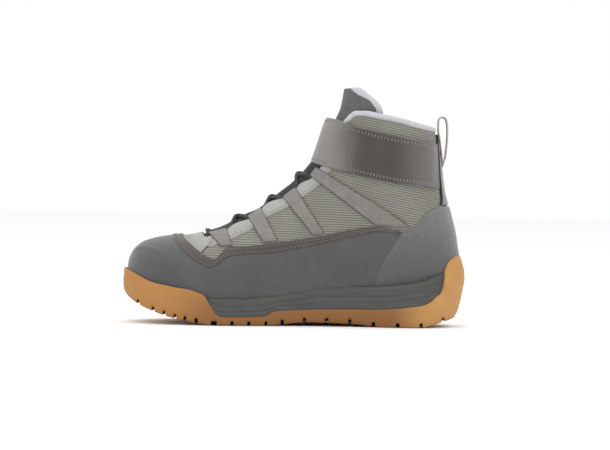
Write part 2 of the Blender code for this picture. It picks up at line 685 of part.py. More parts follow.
def make_tongue():
    """The tongue: a padded layer inside the wall, under the throat and above the collar."""
    edge = side_view(TONGUE_EDGE)
    outline = edge + side_view(TONGUE_AHEAD)
    outer = -WALL - GAP
    return layer("tongue", outer - TONGUE_THICKNESS, outer, outline, "tongue_leather")


def make_strap():
    """The ankle strap, round the shaft and over the tongue from one side to the other."""
    outline = side_view(STRAP_TOP) + side_view(STRAP_LOW)[::-1]
    stand = BINDING_PROUD + GAP
    return layer("ankle_strap", stand, stand + STRAP_THICKNESS, outline, "strap_nubuck")


def make_back_strip():
    """The tape down the back of the shaft, between the strap's ends."""
    front = [(x - GAP, z) for x, z in side_view(STRIP_FRONT)]
    behind = TAPE_BEHIND * LENGTH
    outline = front + [(behind, front[-1][1]), (behind, front[0][1])]
    return layer("back_strip", GAP, GAP + STRIP_THICKNESS, outline, "webbing")


def make_loops():
    """Four webbing loops on each side, from the trim up to the throat."""
    for number, corners in enumerate(LOOPS, 1):
        front_top, rear_top, rear_low, front_low = side_view(corners)
        outline = [front_low, front_top, rear_top, rear_low]
        if number == len(LOOPS):
            outline = ([front_low] + side_view(LOOP_LOW_BEND) + [front_top, rear_top]
                       + side_view(LOOP_TOP_BENDS) + [rear_low])
        for word, side in (("inner", 1), ("outer", -1)):
            layer(f"lace_loop_{word}_{number}", GAP, GAP + WEBBING_THICKNESS, outline, "webbing", side)


def on_form(x, z, side):
    """Station and angle of the form's place that shows at x, z from one side."""
    stations = np.linspace(FIRST_LACED, LAST_LACED, 221)[:, None]
    first, last = LACED_ANGLES
    angles = np.linspace(math.pi * first, math.pi * last, 160)[None, :]
    points = form_points(stations, angles)
    miss = (points[..., 0] - x) ** 2 + (points[..., 2] - z) ** 2
    row, column = np.unravel_index(miss.argmin(), miss.shape)
    angle = angles[0, column]
    return stations[row, 0], angle if side > 0 else 2 * math.pi - angle


def lace_run(start, end):
    """Points of the lace from one loop's tip over the tongue to another's."""
    shares = np.linspace(LACE_END, 1 - LACE_END, TUBE_RINGS)
    stations = start[0] + (end[0] - start[0]) * shares
    angles = start[1] + (end[1] - start[1]) * shares
    low = -WALL - LACE_SINK + LACE_DIAMETER / 2
    return form_points(stations, angles, low + LACE_RISE * np.sin(math.pi * shares) ** 2)


def tube(name, points, finish):
    """A round cord through the points, with flat ends."""
    work = bmesh.new()
    line = [np.array(point) for point in points]
    rings = []
    for i, point in enumerate(line):
        run = line[min(i + 1, len(line) - 1)] - line[max(i - 1, 0)]
        run /= np.linalg.norm(run)
        up = np.array((0.0, 0.0, 1.0)) - run * run[2]
        up /= np.linalg.norm(up)
        side = np.cross(run, up)
        turns = np.arange(TUBE_SIDES) * 2 * math.pi / TUBE_SIDES
        rings.append([point + LACE_DIAMETER / 2 * (math.cos(turn) * side + math.sin(turn) * up)
                      for turn in turns])
    vertices = add_rings(work, rings)
    work.faces.new(vertices[0])
    work.faces.new(vertices[-1])
    return add_object(name, work, finish)


def make_laces():
    """The lace: a bar between the lowest loops, then a crossing between each pair of loops."""
    tips = []
    for corners in LOOPS:
        front_top, rear_top = side_view(corners)[:2]
        x, z = (front_top[0] + rear_top[0]) / 2, (front_top[1] + rear_top[1]) / 2
        tips.append({side: on_form(x, z, side) for side in (1, -1)})
    tube("lace_bar_1", lace_run(tips[0][1], tips[0][-1]), "lace_cord")
    for number, (below, above) in enumerate(zip(tips, tips[1:]), 1):
        crossing = tube(f"lace_crossing_{number}", lace_run(below[1], above[-1]), "lace_cord")
        other = tube(f"lace_other_{number}", lace_run(above[1], below[-1]), None)
        boolean(crossing, other, "UNION")


def make_pull_loop():
    """The pull loop: a band of tape that stands behind the collar."""
    route = np.array(rounded(PULL_ROUTE, 3))
    closed = np.vstack((route[-1], route, route[0]))
    run = closed[2:] - closed[:-2]
    run /= np.linalg.norm(run, axis=1)[:, None]
    aside = np.column_stack((-run[:, 1], run[:, 0])) * TAPE_THICKNESS / 2
    work = bmesh.new()
    rings = []
    for edge in (route + aside, route - aside):
        for y in (-PULL_WIDTH / 2, PULL_WIDTH / 2):
            rings.append([work.verts.new(placed((x, y + BACK_MIDDLE, z))) for x, z in edge])
    first, second, third, fourth = rings
    for one, other in ((first, second), (second, fourth), (fourth, third), (third, first)):
        faces_between(work, one, other)
    return add_object("pull_loop", work, "webbing")


for old in list(bpy.data.objects):
    bpy.data.objects.remove(old)

ALL_ROUND = plan_points(np.linspace(0, 2 * math.pi, 721), np.zeros(721))
PLAN_CENTRE = float(ALL_ROUND[:, 1].max() + ALL_ROUND[:, 1].min()) / 2
BACK_MIDDLE = float(sections(18.0)["middle"])
FOOT_WELL = boolean(form_solid("foot_well", COUNTER_THICKNESS + 2 * GAP),
                    prism("above_bed", bed_line(0) + [(SIDE_AHEAD * LENGTH, 2 * BACK_HEIGHT),
                                                      (SIDE_BEHIND * LENGTH, 2 * BACK_HEIGHT)]),
                    "INTERSECT")

make_outsole()
make_midsole()
make_insole()
make_upper()
make_rand()
make_trim()
make_counter()
make_binding()
make_tongue()
make_strap()
make_back_strip()
make_loops()
make_laces()
make_pull_loop()
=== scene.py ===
"""Looks of the wading boot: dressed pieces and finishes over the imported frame.

All places are in metres in the frame's axes: the toe points along +X, +Z is up and +Y is the
inner side of the foot. Lines seen from the side give their places as shares of the boot's
length from the heel's rear and of its back height from the floor.
"""

import logging
import math
from dataclasses import dataclass, field
from enum import Enum
from typing import Any, Callable, Iterable, Sequence

import bmesh
import bpy
import numpy as np
from mathutils import Matrix, Vector, kdtree


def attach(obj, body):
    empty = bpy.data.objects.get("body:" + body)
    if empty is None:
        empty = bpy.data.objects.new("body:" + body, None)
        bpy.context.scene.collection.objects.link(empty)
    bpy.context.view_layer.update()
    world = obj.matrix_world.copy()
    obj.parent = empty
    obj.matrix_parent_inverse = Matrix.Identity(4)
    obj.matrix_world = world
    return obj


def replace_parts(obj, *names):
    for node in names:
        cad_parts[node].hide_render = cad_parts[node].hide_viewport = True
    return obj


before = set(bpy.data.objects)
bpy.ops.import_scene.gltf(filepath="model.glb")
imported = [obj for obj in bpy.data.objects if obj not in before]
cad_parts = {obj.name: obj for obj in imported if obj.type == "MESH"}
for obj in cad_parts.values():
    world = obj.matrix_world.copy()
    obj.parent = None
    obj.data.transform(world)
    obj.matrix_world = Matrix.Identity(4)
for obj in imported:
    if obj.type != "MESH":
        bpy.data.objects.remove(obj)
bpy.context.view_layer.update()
LOG = logging.getLogger("wading_boot")

Array = np.ndarray
Piece = bpy.types.Object
Work = bmesh.types.BMesh
Socket = bpy.types.NodeSocket
Material = bpy.types.Material
Rows = Sequence[tuple[float, ...]]
MM = 0.001
TURN = 2 * math.pi
INNER, OUTER = 1, -1
SIDES = ((INNER, "inner"), (OUTER, "outer"))
# Places closer than this are one
WELD = 2e-6
# How far outlines and cutters run past the boot's ends, as a share of its length
BEYOND = 0.08
# Steps for slopes over the form, and how much of the first station is the toe's tip
STATION_STEP, ANGLE_STEP, TIP = 0.05, 0.03, 0.02
# The search for places of the side view: its grid, slope steps, longest moves and rounds
SEARCH_GRID = (420, 200)
SEARCH_STEPS = (1e-3, 1e-4)
SEARCH_MOVES = (0.1, 0.05)
SEARCH_ROUNDS = 6
# Depths, as shares of a sheet's edge, at which its grid is cut so that the edge rounds well
EDGE_CUTS = (0.0, 0.12, 0.4, 1.0)
# Largest hole that is filled where a sheet's two faces meet
SMALL_HOLE = 12

# Sections of the outer form: ridge along and up, back along and up, half width, middle line,
# place of the widest point, and how round the lower and upper halves are
FORM_COLUMNS = ("ridge_x", "ridge_z", "back_x", "back_z", "half", "middle",
                "widest", "low_round", "top_round")
FORM_ROWS = (
    (0.9835, 0.258, 0.9835, 0.257, 0.000, 0.085, 0.50, 0.80, 1.00),
    (0.9800, 0.313, 0.9800, 0.187, 0.108, 0.085, 0.46, 0.70, 0.95),
    (0.9675, 0.357, 0.9675, 0.148, 0.190, 0.080, 0.42, 0.62, 0.95),
    (0.9450, 0.393, 0.9450, 0.121, 0.268, 0.070, 0.39, 0.58, 0.95),
    (0.9103, 0.415, 0.9103, 0.093, 0.342, 0.056, 0.37, 0.55, 0.95),
    (0.8590, 0.431, 0.8590, 0.071, 0.400, 0.037, 0.36, 0.55, 0.97),
    (0.7917, 0.445, 0.7917, 0.055, 0.440, 0.016, 0.34, 0.55, 1.00),
    (0.7212, 0.473, 0.7115, 0.049, 0.456, 0.000, 0.32, 0.55, 1.05),
    (0.6571, 0.530, 0.6282, 0.049, 0.432, -0.014, 0.31, 0.58, 1.08),
    (0.5994, 0.591, 0.5385, 0.060, 0.398, -0.018, 0.32, 0.62, 1.08),
    (0.5481, 0.648, 0.4423, 0.077, 0.366, -0.014, 0.35, 0.68, 1.05),
    (0.5064, 0.701, 0.3365, 0.088, 0.350, -0.005, 0.39, 0.74, 1.02),
    (0.4744, 0.753, 0.2179, 0.099, 0.344, 0.005, 0.43, 0.78, 0.98),
    (0.4503, 0.808, 0.0962, 0.126, 0.340, 0.014, 0.46, 0.82, 0.95),
    (0.4391, 0.857, 0.0280, 0.269, 0.334, 0.018, 0.48, 0.86, 0.92),
    (0.4279, 0.907, 0.0321, 0.429, 0.332, 0.019, 0.48, 0.88, 0.90),
    (0.4167, 0.956, 0.0497, 0.560, 0.336, 0.019, 0.48, 0.88, 0.90),
    (0.4054, 1.005, 0.0689, 0.681, 0.345, 0.019, 0.48, 0.88, 0.90),
    (0.3926, 1.044, 0.0790, 0.802, 0.354, 0.019, 0.48, 0.88, 0.90),
    (0.3830, 1.093, 0.0904, 0.923, 0.363, 0.019, 0.48, 0.88, 0.90),
    (0.3766, 1.143, 0.1000, 1.027, 0.366, 0.019, 0.48, 0.88, 0.90),
    (0.3718, 1.198, 0.1060, 1.132, 0.366, 0.019, 0.48, 0.88, 0.90),
)
LAST_STATION = len(FORM_ROWS) - 1.0

# The sole's plan: place along it, middle line and half width
PLAN_ROWS = (
    (0.048, 0.035, 0.271),
    (0.128, 0.030, 0.363),
    (0.224, 0.018, 0.374),
    (0.353, 0.000, 0.361),
    (0.481, -0.020, 0.400),
    (0.609, -0.018, 0.472),
    (0.689, 0.000, 0.500),
    (0.785, 0.012, 0.490),
    (0.881, 0.052, 0.428),
    (0.952, 0.076, 0.310),
)
UNDERSIDE = ((0.000, 0.066), (0.045, 0.040), (0.099, 0.015), (0.141, 0.0), (0.245, 0.0),
             (0.301, 0.011), (0.369, 0.016), (0.433, 0.019), (0.490, 0.016), (0.548, 0.005),
             (0.590, 0.0), (0.732, 0.0), (0.782, 0.012), (0.846, 0.034), (0.878, 0.049),
             (0.913, 0.070), (0.958, 0.104), (0.994, 0.142), (1.000, 0.148))
OUTSOLE_RIM = ((0.000, 0.357), (0.019, 0.357), (0.030, 0.343), (0.048, 0.310), (0.057, 0.258),
               (0.062, 0.209), (0.087, 0.154), (0.119, 0.121), (0.167, 0.104), (0.231, 0.093),
               (0.356, 0.088), (0.484, 0.082), (0.562, 0.071), (0.580, 0.049), (0.708, 0.044),
               (0.728, 0.071), (0.744, 0.115), (0.756, 0.143), (0.782, 0.165), (0.849, 0.187),
               (0.923, 0.214), (0.974, 0.253), (1.000, 0.272))
MIDSOLE_RIM = ((0.000, 0.280), (0.058, 0.269), (0.119, 0.236), (0.189, 0.214), (0.266, 0.203),
               (0.349, 0.198), (0.420, 0.192), (0.484, 0.165), (0.577, 0.143), (0.647, 0.132),
               (0.740, 0.132), (1.000, 0.150))
BED = ((-0.100, 0.176), (0.128, 0.170), (0.256, 0.159), (0.385, 0.143), (0.513, 0.121),
       (0.641, 0.104), (0.737, 0.104), (0.833, 0.121), (0.929, 0.157), (0.987, 0.198),
       (1.100, 0.240))
# The outsole's side: share of its own height, and how far it stands in at heel, waist and toe
SIDE_ROWS = (
    (0.00, 0.085, 0.026, 0.034),
    (0.05, 0.066, 0.014, 0.018),
    (0.12, 0.050, 0.009, 0.008),
    (0.30, 0.028, 0.003, 0.000),
    (0.58, 0.002, 0.000, 0.000),
    (0.75, 0.006, 0.002, 0.003),
    (0.93, 0.032, 0.004, 0.004),
    (1.00, 0.046, 0.009, 0.010),
)
# The midsole's side above the outsole's rim: share of its height, and how far it stands in
MIDSOLE_SIDE = ((0.00, 0.008), (0.05, 0.004), (0.24, 0.003), (0.27, 0.006), (0.31, 0.006),
                (0.34, 0.003), (0.50, 0.004), (0.53, 0.007), (0.57, 0.007), (0.60, 0.004),
                (0.82, 0.008), (0.93, 0.014), (1.00, 0.026))
LUG_GAPS = ((0.067, 0.0045), (0.131, 0.0045), (0.199, 0.0045), (0.269, 0.0045),
            (0.337, 0.0045), (0.404, 0.0045), (0.468, 0.0045), (0.532, 0.0045),
            (0.579, 0.0035), (0.628, 0.0040), (0.676, 0.0040), (0.728, 0.0080),
            (0.779, 0.0045), (0.811, 0.0040), (0.840, 0.0040), (0.872, 0.0040),
            (0.904, 0.0040), (0.949, 0.0045))
CENTRE_ZONES = ((0.110, 0.275), (0.565, 0.890))
# Gaps between lugs: width above for the width below, lead of a slanted end, least land inside
LUG_TAPER, LUG_SLANT, LUG_MARGIN = 0.64, 0.0008, 0.004
CENTRE_GAP, CENTRE_SLANT = 0.0035, 0.0015
# Channels: least land beside them, width above for the width below, depth for a lug's depth
CHANNEL_MARGIN, CHANNEL_TAPER, CHANNEL_SHARE = 0.014, 0.7, 0.8
# Cutters start this far below the floor and beside the sole
BELOW_FLOOR, BESIDE = -0.02, 0.02
# Room left round the upper, between midsole and cup, and the rim's least height over the floor
WELL_ROOM, CUP_ROOM, RIM_ABOVE_FLOOR = 0.0012, 0.0003, 0.0015
# The midsole's top stands this far over the rim, and its side starts this far under it
LEDGE_OVER, LEDGE_UNDER = 0.002, 0.0002
# How high the midsole's block reaches over the bed before the foot well is cut
OVER_BED = 0.006

# Lines of the upper seen from the side
THROAT_LINE = ((0.776, 0.470), (0.762, 0.429), (0.705, 0.455), (0.638, 0.518), (0.603, 0.566),
               (0.538, 0.624), (0.500, 0.668), (0.458, 0.723), (0.426, 0.791), (0.400, 0.870),
               (0.378, 0.950), (0.362, 1.000))
VAMP_SEAM = ((0.734, 0.4425), (0.742, 0.410), (0.757, 0.378), (0.772, 0.3516))
COLLAR_LOW = ((0.362, 1.000), (0.343, 1.027), (0.330, 1.043), (0.308, 1.045), (0.266, 1.033),
              (0.199, 1.011), (0.151, 0.989), (0.096, 0.973), (0.060, 0.965))
COLLAR_TOP = ((0.371, 1.003), (0.361, 1.031), (0.345, 1.060), (0.330, 1.072), (0.301, 1.072),
              (0.266, 1.061), (0.199, 1.039), (0.151, 1.019), (0.096, 0.997), (0.060, 0.990))
TRIM_TOP = ((0.834, 0.500), (0.826, 0.434), (0.804, 0.396), (0.768, 0.350), (0.732, 0.322),
            (0.713, 0.350), (0.692, 0.382), (0.631, 0.390), (0.551, 0.412), (0.446, 0.440),
            (0.333, 0.484), (0.260, 0.500), (0.192, 0.478))
TRIM_LOW = ((0.873, 0.500), (0.857, 0.423), (0.823, 0.357), (0.780, 0.302), (0.742, 0.280),
            (0.713, 0.302), (0.682, 0.337), (0.564, 0.357), (0.433, 0.401), (0.333, 0.445),
            (0.247, 0.473), (0.199, 0.456))
COUNTER_FRONT = ((0.190, 0.470), (0.205, 0.429), (0.234, 0.346), (0.253, 0.275),
                 (0.263, 0.231), (0.266, 0.209), (0.268, 0.060))
COUNTER_TOP = ((0.190, 0.470), (0.176, 0.482), (0.144, 0.522), (0.122, 0.566), (0.096, 0.593),
               (0.074, 0.604), (0.030, 0.604))
STRAP_TOP = ((0.460, 1.034), (0.405, 1.029), (0.374, 1.023), (0.352, 1.006), (0.320, 0.988),
             (0.224, 0.951), (0.093, 0.913))
STRAP_LOW = ((0.480, 0.815), (0.455, 0.812), (0.436, 0.802), (0.346, 0.764), (0.221, 0.720),
             (0.085, 0.693))
STRIP_FRONT = ((0.093, 0.960), (0.091, 0.913), (0.088, 0.841), (0.085, 0.764), (0.080, 0.687),
               (0.077, 0.637), (0.079, 0.609))
TONGUE_EDGE = ((0.808, 0.355), (0.721, 0.385), (0.641, 0.440), (0.561, 0.520), (0.481, 0.610),
               (0.401, 0.710), (0.337, 0.820), (0.295, 0.930), (0.256, 1.043), (0.253, 1.066),
               (0.263, 1.104), (0.280, 1.131), (0.301, 1.157), (0.319, 1.178), (0.335, 1.192),
               (0.352, 1.193), (0.362, 1.191))
TONGUE_FACE = ((0.808, 0.340), (0.721, 0.365), (0.641, 0.420), (0.561, 0.500), (0.481, 0.590),
               (0.401, 0.690), (0.345, 0.800), (0.305, 0.930), (0.274, 1.068), (0.283, 1.098),
               (0.299, 1.127), (0.333, 1.154), (0.357, 1.187))
# Webbing loops: front and rear corner at the throat, then rear and front corner at the trim
LOOPS = (
    ((0.750, 0.446), (0.700, 0.468), (0.683, 0.392), (0.712, 0.386)),
    ((0.636, 0.532), (0.600, 0.573), (0.551, 0.420), (0.590, 0.410)),
    ((0.534, 0.632), (0.500, 0.678), (0.417, 0.462), (0.446, 0.452)),
    ((0.455, 0.744), (0.438, 0.784), (0.172, 0.502), (0.268, 0.510)),
)
LOOP_LOW_BEND = ((0.369, 0.637),)
LOOP_TOP_BENDS = ((0.330, 0.670), (0.247, 0.588))
PULL_ROUTE = ((0.0715, 0.802), (0.0755, 0.870), (0.0810, 0.935), (0.0860, 0.990),
              (0.0860, 1.025), (0.0780, 1.050), (0.0665, 1.045), (0.0600, 1.010),
              (0.0590, 0.960), (0.0610, 0.900), (0.0640, 0.850))


def hermite(xs: Array, ys: Array, at: Array, monotone: bool = True) -> Array:
    """Smooth values through rising places.

    Args:
        xs: The rising places.
        ys: The value at each place.
        at: Where values are wanted.
        monotone: Keep the values from swinging past the given ones.

    Returns:
        The values at the wanted places.
    """
    xs, ys, at = np.asarray(xs, float), np.asarray(ys, float), np.asarray(at, float)
    step = np.diff(xs)
    slope = np.diff(ys) / step
    inner = (slope[:-1] * step[1:] + slope[1:] * step[:-1]) / (step[:-1] + step[1:])
    if monotone:
        limit = 3 * np.minimum(abs(slope[:-1]), abs(slope[1:]))
        inner = np.where(slope[:-1] * slope[1:] <= 0, 0, np.clip(inner, -limit, limit))
    tangent = np.concatenate(([slope[0]], inner, [slope[-1]]))
    cell = np.clip(np.searchsorted(xs, at) - 1, 0, len(step) - 1)
    u = np.clip((at - xs[cell]) / step[cell], 0, 1)
    h = step[cell]
    return ((1 + 2 * u) * (1 - u) ** 2 * ys[cell] + u * (1 - u) ** 2 * h * tangent[cell]
            + u * u * (3 - 2 * u) * ys[cell + 1] + u * u * (u - 1) * h * tangent[cell + 1])


def ease(value: Array) -> Array:
    """A smooth step from 0 to 1."""
    value = np.clip(value, 0, 1)
    return value * value * (3 - 2 * value)


def unit(vectors: Array) -> Array:
    """The vectors, each brought to a length of 1."""
    return vectors / np.maximum(np.linalg.norm(vectors, axis=-1, keepdims=True), 1e-15)


def run_along(line: Array) -> Array:
    """How far along a line each of its places lies."""
    return np.concatenate(([0], np.cumsum(np.linalg.norm(np.diff(line, axis=0), axis=1))))


def places_along(line: Array, shares: Array) -> Array:
    """Places on a line at shares of its length."""
    run = run_along(line)
    return np.column_stack([np.interp(shares * run[-1], run, values) for values in line.T])


def shifted(line: Array, distance: Any) -> Array:
    """The line moved sideways by a distance, to the left of its own direction."""
    run = unit(np.gradient(line, axis=0))
    return line + np.asarray(distance)[..., None] * np.column_stack((-run[:, 1], run[:, 0]))


@dataclass
class Crease:
    """A soft trough or ridge of the leather and cloth, drawn in the side view.

    Attributes:
        line: Its places, as shares of length and back height.
        depth: How deep it is, in metres; less than 0 for a ridge.
        width: Half its width, in metres.
        side: INNER, OUTER or 0 for both sides.
    """

    line: Rows
    depth: float
    width: float
    side: int = 0


CREASES = (
    Crease(((0.300, 0.470), (0.360, 0.520), (0.430, 0.560)), 0.0011, 0.0060),
    Crease(((0.090, 0.640), (0.170, 0.625), (0.240, 0.640), (0.300, 0.690)), 0.0012, 0.0070),
    Crease(((0.120, 0.590), (0.190, 0.560), (0.250, 0.560)), -0.0008, 0.0070),
    Crease(((0.470, 0.500), (0.500, 0.560), (0.520, 0.610)), 0.0009, 0.0050),
    Crease(((0.610, 0.430), (0.640, 0.465), (0.655, 0.500)), 0.0008, 0.0045),
    Crease(((0.395, 0.600), (0.420, 0.660), (0.425, 0.720)), 0.0010, 0.0050, INNER),
    Crease(((0.360, 0.500), (0.430, 0.610), (0.455, 0.690)), 0.0010, 0.0060, OUTER),
    Crease(((0.780, 0.420), (0.820, 0.432), (0.850, 0.428)), 0.0006, 0.0050),
    Crease(((0.730, 0.180), (0.750, 0.240), (0.790, 0.285)), 0.0005, 0.0060),
    Crease(((0.130, 0.900), (0.200, 0.880), (0.280, 0.900)), 0.0008, 0.0080),
    Crease(((0.080, 0.330), (0.130, 0.350), (0.180, 0.340)), -0.0005, 0.0090),
)


@dataclass
class BootForm:
    """The boot's outer form, which every layer of the upper follows.

    Attributes:
        length: From the heel's rear to the toe's tip.
        ball_width: Across the ball of the foot.
        back_height: From the floor to the collar at the back.
        plan_centre: How far the middle of the sole's box lies from the plan's own zero.
        creases: The troughs and ridges that all layers share.
    """

    length: float = 0.312
    ball_width: float = 0.108
    back_height: float = 0.182
    plan_centre: float = 0.0
    creases: Sequence[Crease] = CREASES
    _finder: Any = field(default=None, repr=False)

    def side_view(self, rows: Rows) -> Array:
        """A line seen from the side, in metres from the heel's rear and the floor."""
        return np.array(rows)[:, :2] * (self.length, self.back_height)

    def smooth_line(self, rows: Rows, per_step: int = 6) -> Array:
        """The side view's line with points added along a smooth curve."""
        line = self.side_view(rows)
        index = np.arange(len(line))
        fine = np.linspace(0, len(line) - 1, per_step * (len(line) - 1) + 1)
        return np.column_stack([hermite(index, values, fine) for values in line.T])

    def between(self, high: Rows, low: Rows) -> Array:
        """Closed outline between an upper and a lower line."""
        return np.vstack((self.smooth_line(high, 4), self.smooth_line(low, 4)[::-1]))

    def sections(self, stations: Array) -> dict[str, Array]:
        """The form's sections at the stations, which count the rows of FORM_ROWS."""
        scale = (self.length, self.back_height, self.length, self.back_height,
                 self.ball_width, self.ball_width, 1, 1, 1)
        rows = np.array(FORM_ROWS) * scale
        index = np.arange(len(rows))
        return {name: hermite(index, rows[:, column], stations, False)
                for column, name in enumerate(FORM_COLUMNS)}

    def bare(self, stations: Array, angles: Array) -> Array:
        """Points of the form at stations and angles: 0 behind or below, pi on the ridge."""
        part = self.sections(stations)
        turn, side = np.cos(angles), np.sin(angles)
        power = part["low_round"] + (part["top_round"] - part["low_round"]) * (1 - turn) / 2
        share = (1 - np.sign(turn) * abs(turn) ** power) / 2
        share = share ** (np.log(part["widest"]) / math.log(0.5))
        x = part["back_x"] + (part["ridge_x"] - part["back_x"]) * share
        z = part["back_z"] + (part["ridge_z"] - part["back_z"]) * share
        y = part["middle"] + part["half"] * np.sign(side) * abs(side) ** power
        return np.stack((x, y, z), axis=-1)

    def normals(self, stations: Array, angles: Array) -> Array:
        """Directions that point out of the form."""
        after = np.minimum(stations + STATION_STEP, LAST_STATION)
        before = np.maximum(stations - STATION_STEP, 0)
        along = self.bare(after, angles) - self.bare(before, angles)
        across = self.bare(stations, angles + ANGLE_STEP) - self.bare(stations, angles - ANGLE_STEP)
        tip = stations < TIP
        return np.where(tip[..., None], (1.0, 0.0, 0.0), unit(np.cross(along, across)))

    def crease_height(self, points: Array) -> Array:
        """How far the creases lift or sink each point of the form."""
        lift = np.zeros(points.shape[:-1])
        flat = points[..., (0, 2)]
        for crease in self.creases:
            line = self.smooth_line(crease.line, 4)
            gap, along = distance_to_line(flat, line)
            fade = np.sin(math.pi * np.clip(along, 0.02, 0.98)) ** 0.7
            bump = -crease.depth * np.exp(-(gap / crease.width) ** 2) * fade
            if crease.side:
                bump = bump * ease(0.5 + crease.side * points[..., 1] / 0.01)
            lift += bump
        return lift

    def points(self, stations: Array, angles: Array, offset: Any = 0.0) -> Array:
        """Points that stand off the form, in the frame's axes.

        Args:
            stations: Places along the form.
            angles: Places round each section.
            offset: How far the points stand off it, in metres.

        Returns:
            The points, with the creases in them.
        """
        stations, angles = np.broadcast_arrays(np.asarray(stations, float),
                                               np.asarray(angles, float))
        points = self.bare(stations, angles)
        lift = np.asarray(offset) + self.crease_height(points)
        points = points + lift[..., None] * self.normals(stations, angles)
        return points - (self.length / 2, self.plan_centre, 0.0)

    def find(self, flat: Array, side: int = INNER) -> tuple[Array, Array, Array]:
        """Stations and angles whose points show at places in the side view.

        Args:
            flat: Places in metres from the heel's rear and the floor.
            side: INNER or OUTER.

        Returns:
            Stations, angles, and how far each found point lies from its place.
        """
        if self._finder is None:
            stations, angles = np.meshgrid(
                np.linspace(0.3, LAST_STATION, SEARCH_GRID[0]),
                np.linspace(0.03, math.pi - 0.01, SEARCH_GRID[1]))
            grid = self.bare(stations, angles)[..., (0, 2)].reshape(-1, 2)
            tree = kdtree.KDTree(len(grid))
            for index, (x, z) in enumerate(grid):
                tree.insert((x, z, 0), index)
            tree.balance()
            self._finder = (tree, stations.ravel(), angles.ravel())
        tree, all_stations, all_angles = self._finder
        found = [tree.find((x, z, 0))[1] for x, z in flat]
        station, angle = all_stations[found], all_angles[found]
        (step, turn), (far, wide) = SEARCH_STEPS, SEARCH_MOVES
        for _ in range(SEARCH_ROUNDS):
            here = self.bare(station, angle)[:, (0, 2)]
            by_station = (self.bare(station + step, angle)[:, (0, 2)] - here) / step
            by_angle = (self.bare(station, angle + turn)[:, (0, 2)] - here) / turn
            miss = flat - here
            size = by_station[:, 0] * by_angle[:, 1] - by_station[:, 1] * by_angle[:, 0]
            size = np.where(abs(size) < 1e-8, 1e-8, size)
            ds = (miss[:, 0] * by_angle[:, 1] - miss[:, 1] * by_angle[:, 0]) / size
            da = (by_station[:, 0] * miss[:, 1] - by_station[:, 1] * miss[:, 0]) / size
            station = np.clip(station + np.clip(ds, -far, far), 0.05, LAST_STATION)
            angle = np.clip(angle + np.clip(da, -wide, wide), 0.0, math.pi)
        residual = np.linalg.norm(self.bare(station, angle)[:, (0, 2)] - flat, axis=1)
        return station, angle if side > 0 else TURN - angle, residual


def distance_to_line(points: Array, line: Array) -> tuple[Array, Array]:
    """Distance of points from a line, and where along it the nearest place is, from 0 to 1."""
    best = np.full(points.shape[:-1], np.inf)
    where = np.zeros(points.shape[:-1])
    for index, (start, end) in enumerate(zip(line[:-1], line[1:])):
        run = end - start
        share = np.clip(((points - start) @ run) / max(run @ run, 1e-18), 0, 1)
        gap = np.linalg.norm(points - start - share[..., None] * run, axis=-1)
        closer = gap < best
        best = np.where(closer, gap, best)
        where = np.where(closer, (index + share) / (len(line) - 1), where)
    return best, where


def depth_inside(points: Array, outline: Array) -> tuple[Array, Array]:
    """How far points of the side view lie inside a closed outline.

    Args:
        points: Places in the side view.
        outline: The outline's corners.

    Returns:
        The depth, less than 0 outside, and the direction in which it grows.
    """
    best = np.full(len(points), np.inf)
    way = np.zeros((len(points), 2))
    inside = np.zeros(len(points), bool)
    for start, end in zip(outline, np.roll(outline, -1, axis=0)):
        run = end - start
        if run @ run < 1e-18:
            continue
        share = np.clip(((points - start) @ run) / (run @ run), 0, 1)
        away = points - start - share[:, None] * run
        gap = np.linalg.norm(away, axis=1)
        closer = gap < best
        best = np.where(closer, gap, best)
        way = np.where(closer[:, None], away / np.maximum(gap, 1e-12)[:, None], way)
        above = (start[1] <= points[:, 1]) != (end[1] <= points[:, 1])
        if abs(run[1]) > 1e-15:
            cross = start[0] + (points[:, 1] - start[1]) * run[0] / run[1]
            inside ^= above & (points[:, 0] < cross)
    return np.where(inside, best, -best), way


def mesh_of(name: str, work: Work) -> bpy.types.Mesh:
    """Make a mesh of a bmesh and free the bmesh."""
    mesh = bpy.data.meshes.new(name)
    work.to_mesh(mesh)
    work.free()
    return mesh


def placed(name: str, data: Any) -> Piece:
    """A new object at the origin, linked to the scene."""
    made = bpy.data.objects.new(name, data)
    bpy.context.scene.collection.objects.link(made)
    return made


def finished(name: str, work: Work) -> Piece:
    """Make a smooth-shaded object of a bmesh, at the origin, and ride it on the boot."""
    mesh = mesh_of(name, work)
    mesh.shade_smooth()
    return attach(placed(name, mesh), "root")


def walled(piece: Piece, thickness: float, edge: float) -> Piece:
    """Give an open sheet its thickness and soft edges by modifiers that stay live."""
    wall = piece.modifiers.new("thickness", "SOLIDIFY")
    wall.thickness, wall.offset = thickness, 0.0
    bevel = piece.modifiers.new("soft_edges", "BEVEL")
    bevel.width, bevel.segments, bevel.limit_method = edge, 2, "ANGLE"
    return piece


def move_vertices(work: Work, places: Array) -> None:
    """Put every vertex of a bmesh at its place."""
    for vertex, place in zip(work.verts, places):
        vertex.co = place


def places_of(work: Work) -> Array:
    """The places of a bmesh's vertices."""
    return np.array([vertex.co for vertex in work.verts])


def take_in(work: Work, other: Work) -> None:
    """Add another bmesh's faces to a bmesh and free the other."""
    carrier = mesh_of("carrier", other)
    work.from_mesh(carrier)
    bpy.data.meshes.remove(carrier)


def close_holes(work: Work, sides: int = 0) -> None:
    """Fill a bmesh's holes: all of them, or those of up to a number of sides."""
    bmesh.ops.holes_fill(work, edges=[edge for edge in work.edges if edge.is_boundary],
                         sides=sides)


